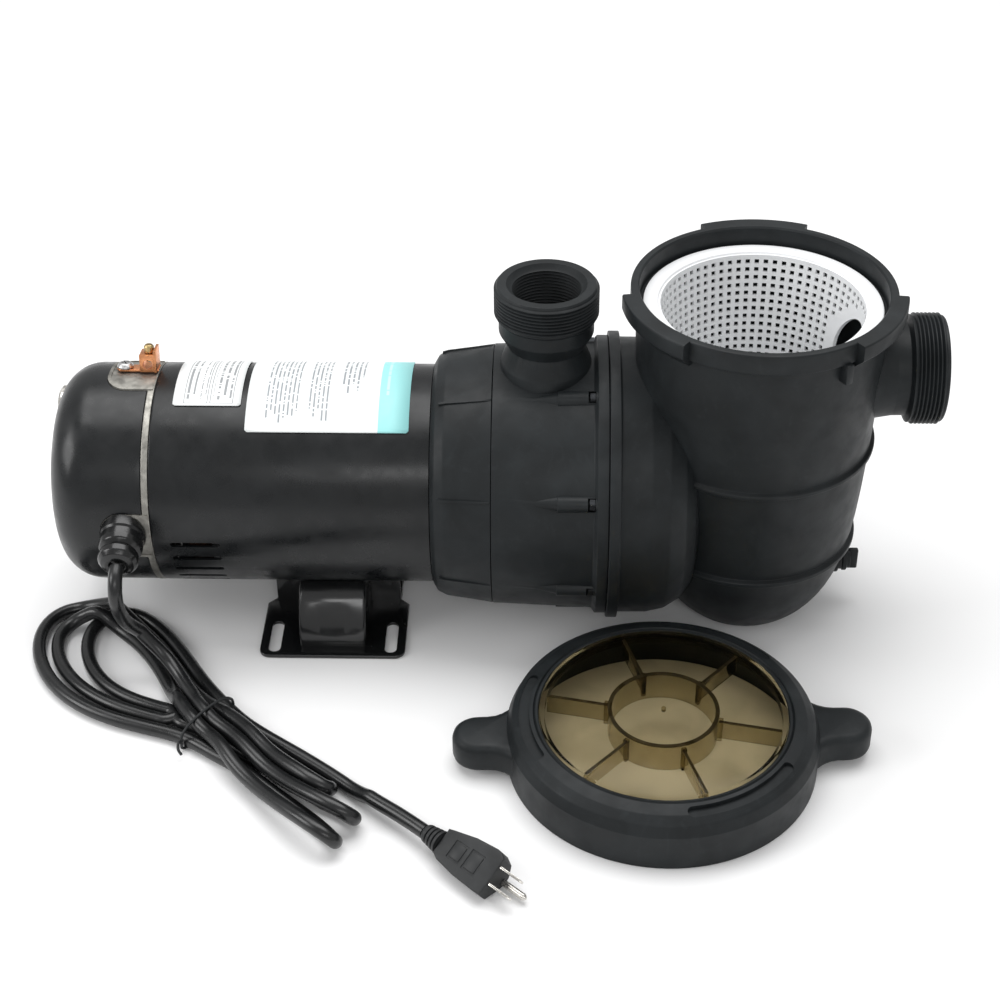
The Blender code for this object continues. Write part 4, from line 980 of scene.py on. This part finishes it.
def seal_plate():
    plate = turned("seal_plate_moulding", [
        (PLATE_LEFT, 73), (PLATE_LEFT, 81, 1), (77.5, 86.2, 4), (84, 89.4, 8), (SEAM - 0.2, 94.3, 0.5),
        (SEAM - 0.2, 89.4), (106, 88.4), (106, 24), (109, 24), (109, 19.4), (103.8, 19.4), (103.8, 12),
        (98, 12), (98, 28), (101, 30), (101, 78), (80, 78)], on_axis(), ALONG)
    for angle in rib_angles():
        fin = block("fin", (80, -0.9, 84), (SEAM - 0.6, 0.9, 93.6), 0.5, 2)
        lift = Matrix.Translation(Vector((0, 0, 0.9)) * MM)
        join(plate, transform(fin, radial_frame(0, angle) @ lift))
    cut(plate, turned("trim", [(70, 86.6), (84, 90.6), (SEAM + 3, 95.5), (SEAM + 3, 120), (70, 120)],
                      on_axis(), ALONG))
    piece(plate, CHARCOAL, ("seal_plate",))


def port_profile(top, lip, band, neck, throat):
    """(height, radius) of a threaded port, down from its lip."""
    thread = ridges(top - 2.2, top - 22.5, lip - 1.5, lip, 2.5)
    return ([(top, 0), (top, lip - 2.4, 0.6), (top - 1.4, lip - 1.6, 0.4)] + thread
            + [(top - 23.5, lip - 0.9, 0.5), (top - 25.5, neck, 1.2), (top - 36, neck, 3),
               (top - 47, throat, 4), (top - 48 - band, throat), (top - 48 - band, 0)])


def volute_casing():
    casing = turned("volute_moulding", [
        (SEAM + 0.2, 94.5, 0.4), (188.5, 97.3, 1.5), (191, 101.2, 0.8), (FLANGE_LEFT - 0.3, 101.2, 0.6),
        (FLANGE_LEFT - 0.3, 89.4), (122, 89.4), (122, 85), (SEAM + 0.2, 85)], on_axis(), ALONG)
    flare = turned("port_root", [(176, 0), (176, 33.5), (194, 33.0, 6), (205, 31.8, 6), (219, 27), (222, 0)],
                   (DISCHARGE_X, 0, 0), UP)
    join(casing, turned("port", port_profile(DISCHARGE_TOP, 36.4, 40, 33.2, 27), (DISCHARGE_X, 0, 0), UP),
         flare)
    for angle in rib_angles():
        centre = Vector(on_axis()) + outward(angle) * 95.2
        join(casing, rod("boss", 5.9, 163, 193, centre, ALONG, 40, round_by=0.8),
             rod("boss_nose", 0.6, 139, 164.0, centre - outward(angle) * 1.6, ALONG, 40, tip=5.9))
    cut(casing, turned("hollow", [(100, 0), (100, 84.9), (122.1, 84.9), (122.1, 89.3),
                                  (210, 89.3), (210, 0)],
                       on_axis(), ALONG))
    bore = ([(DISCHARGE_TOP + 2, 0), (DISCHARGE_TOP + 2, 29.5), (DISCHARGE_TOP - 3, 25.6)]
            + ridges(DISCHARGE_TOP - 4, DISCHARGE_TOP - 31, THREAD_BORE - 0.1, THREAD_BORE + 1.1, 2.3)
            + [(DISCHARGE_TOP - 34, PORT_BORE), (150, PORT_BORE), (150, 0)])
    cut(casing, turned("bore", bore, (DISCHARGE_X, 0, 0), UP, COARSE))
    for index, angle in enumerate(rib_angles()):
        centre = Vector(on_axis()) + outward(angle) * BOLT_CIRCLE
        cut(casing, rod("pocket", 5.0, 184, 189.4, centre, ALONG, 40),
            rod("pocket_way", 5.0, 184, 189.4, centre + outward(angle) * 3, ALONG, 40),
            rod("hole", 3.1, 188, 200, centre, ALONG, 32))
        shank = [(185.2, 0), (185.2, 3.9, 0.4), (185.7, 4.4), (189, 4.4), (189, 2.6), (204.8, 2.6, 0.4),
                 (205.4, 2.0), (205.4, 0)]
        bolt = turned(f"hex_bolt_{index + 1}", shank, centre, ALONG, 48)
        sides = turned("sides", [(184, 0), (184, 4.45), (189, 4.45), (189, 3.0), (206, 3.0), (206, 0)],
                       centre, ALONG, 6)
        combine(bolt, [sides], "INTERSECT")
        piece(bolt, BLACK_STEEL, (f"casing_bolt_{index + 1}",))
    piece(casing, CHARCOAL, ("volute_casing",))


def pot_radius(height):
    """Outer radius of the strainer pot at a height: a bowl that opens into a slightly tapered wall."""
    bowl = 77.0 * (1 - math.exp(-(height + 24.5) / 30.0))
    return bowl + 11.3 * height / RIM_TOP


def rib(height, proud):
    radius = pot_radius(height)
    return [(height - 2.9, radius, 0.6), (height - 1.9, radius + proud, 1.2),
            (height + 1.3, radius + proud, 1.2),
            (height + 2.6, radius, 0.8)]


def pot_profile():
    line = [(0, 0), (0, pot_radius(0) - 3, 3)]
    line += [(z, pot_radius(z)) for z in (2, 4, 7, 10, 14, 19, 25, 32, 40, 50, 62)]
    line += rib(66.5, 3.2) + [(z, pot_radius(z)) for z in (75, 90, 110, 130)] + rib(147.5, 3.0)
    line += [(z, pot_radius(z)) for z in (155, 175, 200, 225, 243)]
    return line + [(249.4, pot_radius(249.4), 1.5), (250.4, RIM_OUTSIDE, 0.6), (RIM_TOP, RIM_OUTSIDE, 1.6),
                   (RIM_TOP, 0)]


def strainer_housing():
    centre = (POT_X, 0, 0)
    pot = turned("strainer_pot", pot_profile(), centre, UP, 192)
    barrel = turned("barrel", [
        (FLANGE_LEFT + 0.1, 0), (FLANGE_LEFT + 0.1, FLANGE_RADIUS, 0.8), (FLANGE_RIGHT, FLANGE_RADIUS, 0.8),
        (FLANGE_RIGHT, 100.2, 1.2), (228, 100.0, 10), (241, 97, 8), (252, 90, 8), (260, 79, 8), (265, 60),
        (265, 0)], on_axis(), ALONG, 192)
    thread = ridges(428.6, 409.2, 37.2, 39.0, 2.5)
    port = turned("suction", [(360, 0), (360, 40), (376, 36.5, 6), (396, 33.2, 3), (405, 33.0, 1),
                              (407, 38.0, 0.5)]
                  + thread[::-1] + [(430.0, 37.4, 0.4), (SUCTION_END, 36.6, 0.5), (SUCTION_END, 0)],
                  (0, 0, SUCTION_HEIGHT), ALONG)
    boss = rod("drain_boss", 10.5, 345, 374, (0, 0, DRAIN_HEIGHT), ALONG, round_by=1.2)
    join(pot, barrel, port, boss)
    for angle in LUG_ANGLES:
        skin = turned("lug", [(LUG_BOTTOM - 9, 86), (LUG_BOTTOM + 3, LUG_RADIUS, 3),
                              (RIM_TOP, LUG_RADIUS, 1.6), (RIM_TOP, 88)], centre, UP, 192)
        wide = 130 * math.tan(math.radians(LUG_HALF_ANGLE))
        wedge = sheet("wedge", [[(20, -20 / 130 * wide), (130, -wide), (130, wide), (20, 20 / 130 * wide)]],
                      LUG_BOTTOM - 5, RIM_TOP + 5, matrix=turn_about(centre, angle))
        combine(skin, [wedge], "INTERSECT")
        join(pot, skin)
    join(pot, transform(block("stop", (86, -3, 236), (94, 3, 250.6), 0.8, 2), turn_about(centre, 303)))
    inside = [(POT_WALL + 1, 0)] + [(z, pot_radius(z) - POT_WALL) for z in (5.5, 8, 12, 18, 26, 36, 60, 120)]
    inside += [(243, 83.0), (244.5, 78.5), (BASKET_SEAT, 78.5, 0.5), (BASKET_SEAT, RIM_INSIDE, 0.5),
               (RIM_TOP - 1.2, RIM_INSIDE), (RIM_TOP + 2, RIM_INSIDE + 3), (RIM_TOP + 2, 0)]
    bore = ([(352, 0), (352, PORT_BORE), (404, PORT_BORE), (406, THREAD_BORE)]
            + ridges(407, SUCTION_END - 4, THREAD_BORE - 0.1, THREAD_BORE + 1.1, 2.3)
            + [(SUCTION_END - 3, 26), (SUCTION_END + 2, 29.5), (SUCTION_END + 2, 0)])
    cut(pot, turned("hollow", inside, centre, UP, 192),
        turned("chamber", [(190, 0), (190, 88.6), (206, 88.6), (211, 85), (213, 78), (213, 28.4),
                           (262, 28.4), (262, 0)], on_axis(), ALONG),
        turned("bore", bore, (0, 0, SUCTION_HEIGHT), ALONG, COARSE),
        rod("drain_bore", 5.6, 340, 380, (0, 0, DRAIN_HEIGHT), ALONG))
    for angle in rib_angles():
        spot = Vector(on_axis()) + outward(angle) * BOLT_CIRCLE
        cut(pot, rod("hole", 3.1, 190, 206, spot, ALONG, 32))
    piece(pot, CHARCOAL, ("strainer_housing",))


def basket_lattice(mouth):
    """The basket's wall: rows of square holes, with solid bands at its top, bottom and mouth."""
    columns, rows = 68, 27
    low, high = 82.0, 246.6
    cell = (high - low) / rows
    heights = [77.0] + [low + cell * (r + o) for r in range(rows) for o in (0.0, 0.46)] + [high, 250.2]
    builder = bmesh.new()
    grid = []
    for z in heights:
        radius = 56.5 + (z - 77.0) / (246.0 - 77.0) * (72.0 - 56.5) - 1.0
        ring = []
        for column in range(columns):
            for offset in (0.0, 0.5):
                a = 2 * math.pi * (column + offset) / columns
                ring.append(builder.verts.new((POT_X + radius * math.cos(a), radius * math.sin(a), z)))
        grid.append(ring)
    around = 2 * columns
    for level, (lower, upper) in enumerate(zip(grid, grid[1:])):
        middle = (heights[level] + heights[level + 1]) / 2
        for i in range(around):
            a = 2 * math.pi * (i + 0.5) / around
            radius = 64.0
            aside = math.hypot(radius * math.sin(a), middle - SUCTION_HEIGHT)
            near_mouth = math.cos(a) > 0 and aside < mouth + 7
            hole = level % 2 == 0 and i % 2 == 1 and 0 < level <= 2 * rows and not near_mouth
            if not hole:
                j = (i + 1) % around
                builder.faces.new((lower[i], lower[j], upper[j], upper[i]))
    wall = from_builder("basket_wall", builder)
    thick = wall.modifiers.new("thickness", "SOLIDIFY")
    thick.thickness = 2.0 * MM
    thick.offset = 0
    combine(wall, [])
    return cut(wall, rod("mouth", mouth, 340, 400, (0, 0, SUCTION_HEIGHT), ALONG, 96))


def strainer_basket():
    mouth = 34.0
    basket = basket_lattice(mouth)
    basket.name = "basket_moulding"
    flange = turned("flange", [(249.4, 71.4), (249.4, 73.4, 0.8), (249.8, 74, 0.1), (249.6, 82.2, 0.5),
                               (252, 82.2, 0.8), (252, 72.2, 1.2)], (POT_X, 0, 0), UP)
    floor = turned("base", [(74, 0), (74, 53, 1), (77.4, 56.6, 1), (79, 56.4), (79, 54.4), (76, 52),
                            (76, 0)],
                   (POT_X, 0, 0), UP)
    gather(basket, flange, floor)
    piece(basket, WHITE, ("strainer_basket",), "basket")


def drain_plug():
    centre = (0, 0, DRAIN_HEIGHT)
    plug = turned("drain_screw_plug", [(362, 0), (362, 4.2, 0.5)] + ridges(363, 374, 4.6, 5.2, 2.0) +
                  [(377, 5.2), (377, 9.2, 0.6), (380, 9.2, 0.6), (380.6, 7.6, 0.4), (383, 7.6, 0.6),
                   (383, 0)],
                  centre, ALONG, COARSE)
    wing = block("wing", (382, -2.2, DRAIN_HEIGHT - 8.5), (389, 2.2, DRAIN_HEIGHT + 8.5), 1.2, 3)
    join(plug, wing)
    piece(plug, CHARCOAL, ("drain_plug",), "drain_screw")


# Lid ----------------------------------------------------------------------------------------------

def ear_outline():
    reach = EAR_REACH - EAR_HALF
    tip = arc((reach, 0), EAR_HALF, 90, -90, 18)
    root = [(80, 42), (92, 35), (99, 29.5), (104, 24.5), (109, 20.6), (114, 18.4), (119, 17.6)]
    return root + tip + [(x, -y) for x, y in root[::-1]]


def lid_ring():
    centre = (LID_X, LID_Y, 0)
    ring = turned("lid_collar_moulding", [
        (0, 99.9, 0.5), (0, LID_RADIUS, 0.8), (27, LID_RADIUS, 1.2), (29, 105.0, 2), (34.5, 102.6, 4),
        (38.6, 96.6, 4), (40.9, 88.5, 4), (40.6, LENS_OPENING + 0.4, 1.2), (39.2, LENS_OPENING),
        (36.9, LENS_OPENING), (36.4, 99.9)], centre, UP, 192)
    for side in (0, 180):
        ear = sheet("ear", [ear_outline()], 4, 27, 5.5, turn_about(centre, LID_TURN + side))
        join(ring, ear)
    cut(ring, rod("clearance", 99.9, -1, 36.3, centre, UP, 192))
    for angle in (60, 180, 300):
        slot = arc((0, 0), 98.0, -SLOT_SWEEP, SLOT_SWEEP, 24)
        for sign, first in ((1, SLOT_SWEEP), (-1, 180 - SLOT_SWEEP)):
            spot = (94.4 * math.cos(math.radians(SLOT_SWEEP)),
                    sign * 94.4 * math.sin(math.radians(SLOT_SWEEP)))
            slot += arc(spot, 3.6, first, first + 180, 10)[1:-1]
            slot += arc((0, 0), 90.8, SLOT_SWEEP, -SLOT_SWEEP, 24) if sign > 0 else []
        cut(ring, sheet("slot", [slot], 37.0, 45, matrix=turn_about(centre, LID_TURN + angle)))
    groove = turned("groove", [(39.4, 87.6), (40.4, 86.6), (42, 86.6), (42, 88.4), (40.6, 88.4)], centre, UP,
                    192)
    cut(ring, groove)
    for angle in (98, 262):
        arrow = [(-8, -0.9), (3, -0.9), (3, -2.6), (8, 0), (3, 2.6), (3, 0.9), (-8, 0.9)]
        mark = sheet("arrow", [arrow], 36, 39.6)
        place = turn_about(centre, angle) @ Matrix.Translation(Vector((97.4, 0, 0)) * MM) \
            @ Matrix.Rotation(math.radians(90), 4, "Z")
        join(ring, transform(mark, place))
    piece(ring, CHARCOAL, ("lid_ring",), "lid_collar")


def dome(radius):
    return 46.5 - 4.9 * (radius / 83.8) ** 2


def lid_lens():
    centre = (LID_X, LID_Y, 0)
    wall = 3.2
    outer = [(dome(r), r) for r in (0, 10, 20, 30, 40, 50, 60, 70, 78)] + [(dome(83.8), 83.8, 0.6)]
    inner = [(dome(r) - wall, r) for r in (80.4, 70, 60, 50, 40, 30, 20, 10, 0)]
    edge = [(36.4, 83.8), (36.2, 91.0, 0.6), (32.8, 91.0, 0.6), (32.8, 80.4)]
    lens = turned("lid_window_moulding", outer + edge + inner, centre, UP, 192)
    piece(lens, LENS, ("lid_lens",), "lid_window", 40)
    hub = turned("lens_hub", [(HUB_BOTTOM, 35.2), (HUB_BOTTOM, 37.4, 0.5), (41.4, 37.4), (41.4, 35.2)],
                 centre, UP)
    # A dark ring on the hub top and dark caps on the fin tops: painted shade where the clear stiffeners meet
    # the lens.
    rim = turned("lens_edges", [(41.5, 34.9), (41.5, 37.7), (42.2, 37.7), (42.2, 34.9)], centre, UP)
    caps = []
    fins = [rod("hub_pip", 1.6, 40.5, 43.2, centre, UP, 32, round_by=0.5)]
    for index in range(6):
        here = turn_about(centre, LID_TURN + 45 + 60 * index)
        fins.append(transform(block("fin", (36.9, -0.8, 24), (80.2, 0.8, 37.8), 0.3, 2), here))
        fins.append(transform(block("fin_post", (37.2, -1.7, 22), (40.6, 1.7, 40.4), 0.5, 2), here))
        caps.append(transform(block("fin_cap", (37.9, -1.0, 37.9), (80.0, 1.0, 38.5)), here))
    gather(hub, *fins)
    hub.name = "lens_stiffeners"
    piece(hub, LENS_RIB, (), "lid_window")
    piece(gather(rim, *caps), LENS_JOIN_SHADE, (), "lid_window")
    ring = turned("lens_seal", [(30.8 + z, 87.0 + r) for z, r in arc((0, 0), 1.6, 0, 337.5, 15)], centre, UP,
                  192)
    piece(ring, RUBBER, ("lid_oring",), "lid_window", 60)


# Everything else ----------------------------------------------------------------------------------

CARRIED = {
    "front_end_frame": CAST, "stator_core": LAMINATED, "stator_winding_rear": WINDING_SHADED,
    "stator_winding_front": WINDING_SHADED, "run_capacitor": NICKEL, "terminal_board": CHARCOAL,
    "rear_bearing_outer": STEEL, "front_bearing_outer": STEEL, "seal_seat_ring": CERAMIC,
    "seal_plate_oring": RUBBER, "casing_oring": RUBBER, "diffuser": CHARCOAL, "motor_shaft": STEEL,
    "rotor_core": LAMINATED, "cooling_fan": WHITE, "rear_bearing_inner": STEEL, "front_bearing_inner": STEEL,
    "seal_rotary_head": RUBBER, "impeller": CHARCOAL, "drain_plug_oring": RUBBER,
    "through_bolt_1": STEEL, "through_bolt_2": STEEL, "through_bolt_3": STEEL, "through_bolt_4": STEEL,
}


def carried_nodes():
    for name, finish in CARRIED.items():
        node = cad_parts[name]
        node.data.materials.clear()
        node.data.materials.append(finish)


def floor_and_light():
    graph = Graph("studio_floor")
    patches = graph.ramp(graph.noise(300, 2.0), 0.3, 0.7)
    graph.set("Base Color", graph.mix(patches, (0.9, 0.9, 0.905), (0.92, 0.92, 0.92)))
    graph.set("Roughness", 0.9)
    graph.set("Specular IOR Level", 0.1)
    ground = block("studio_ground", (-5000, -5000, -6), (5000, 5000, -0.3))
    ground.data.materials.append(graph.material)
    world = bpy.data.worlds.new("studio")
    world.use_nodes = True
    world.node_tree.nodes["Background"].inputs["Color"].default_value = (1, 1, 1, 1)
    world.node_tree.nodes["Background"].inputs["Strength"].default_value = WORLD_LIGHT
    bpy.context.scene.world = world
    for name, spot, size, power in LAMPS:
        data = bpy.data.lights.new(name, "AREA")
        data.shape = "RECTANGLE"
        data.size, data.size_y = size
        data.energy = power
        lamp = bpy.data.objects.new(name, data)
        lamp.location = spot
        aimed = (Vector((0.1, -0.05, 0.1)) - Vector(spot)).to_track_quat("-Z", "Y")
        lamp.rotation_euler = aimed.to_euler()
        bpy.context.scene.collection.objects.link(lamp)
    bpy.context.scene.view_settings.view_transform = "Standard"


motor_shell()
rear_end_frame()
end_cover()
wrapped_label("rating_sticker", "rating_label", -106.9, -59, -33, 20.4, RATING_LABEL)
wrapped_label("care_sticker", "care_label", -54.8, 59.5, -33, 35.2, CARE_LABEL)
ground_lug()
motor_foot()
cord_gland()
seal_plate()
volute_casing()
strainer_housing()
strainer_basket()
drain_plug()
lid_ring()
lid_lens()
carried_nodes()
floor_and_light()
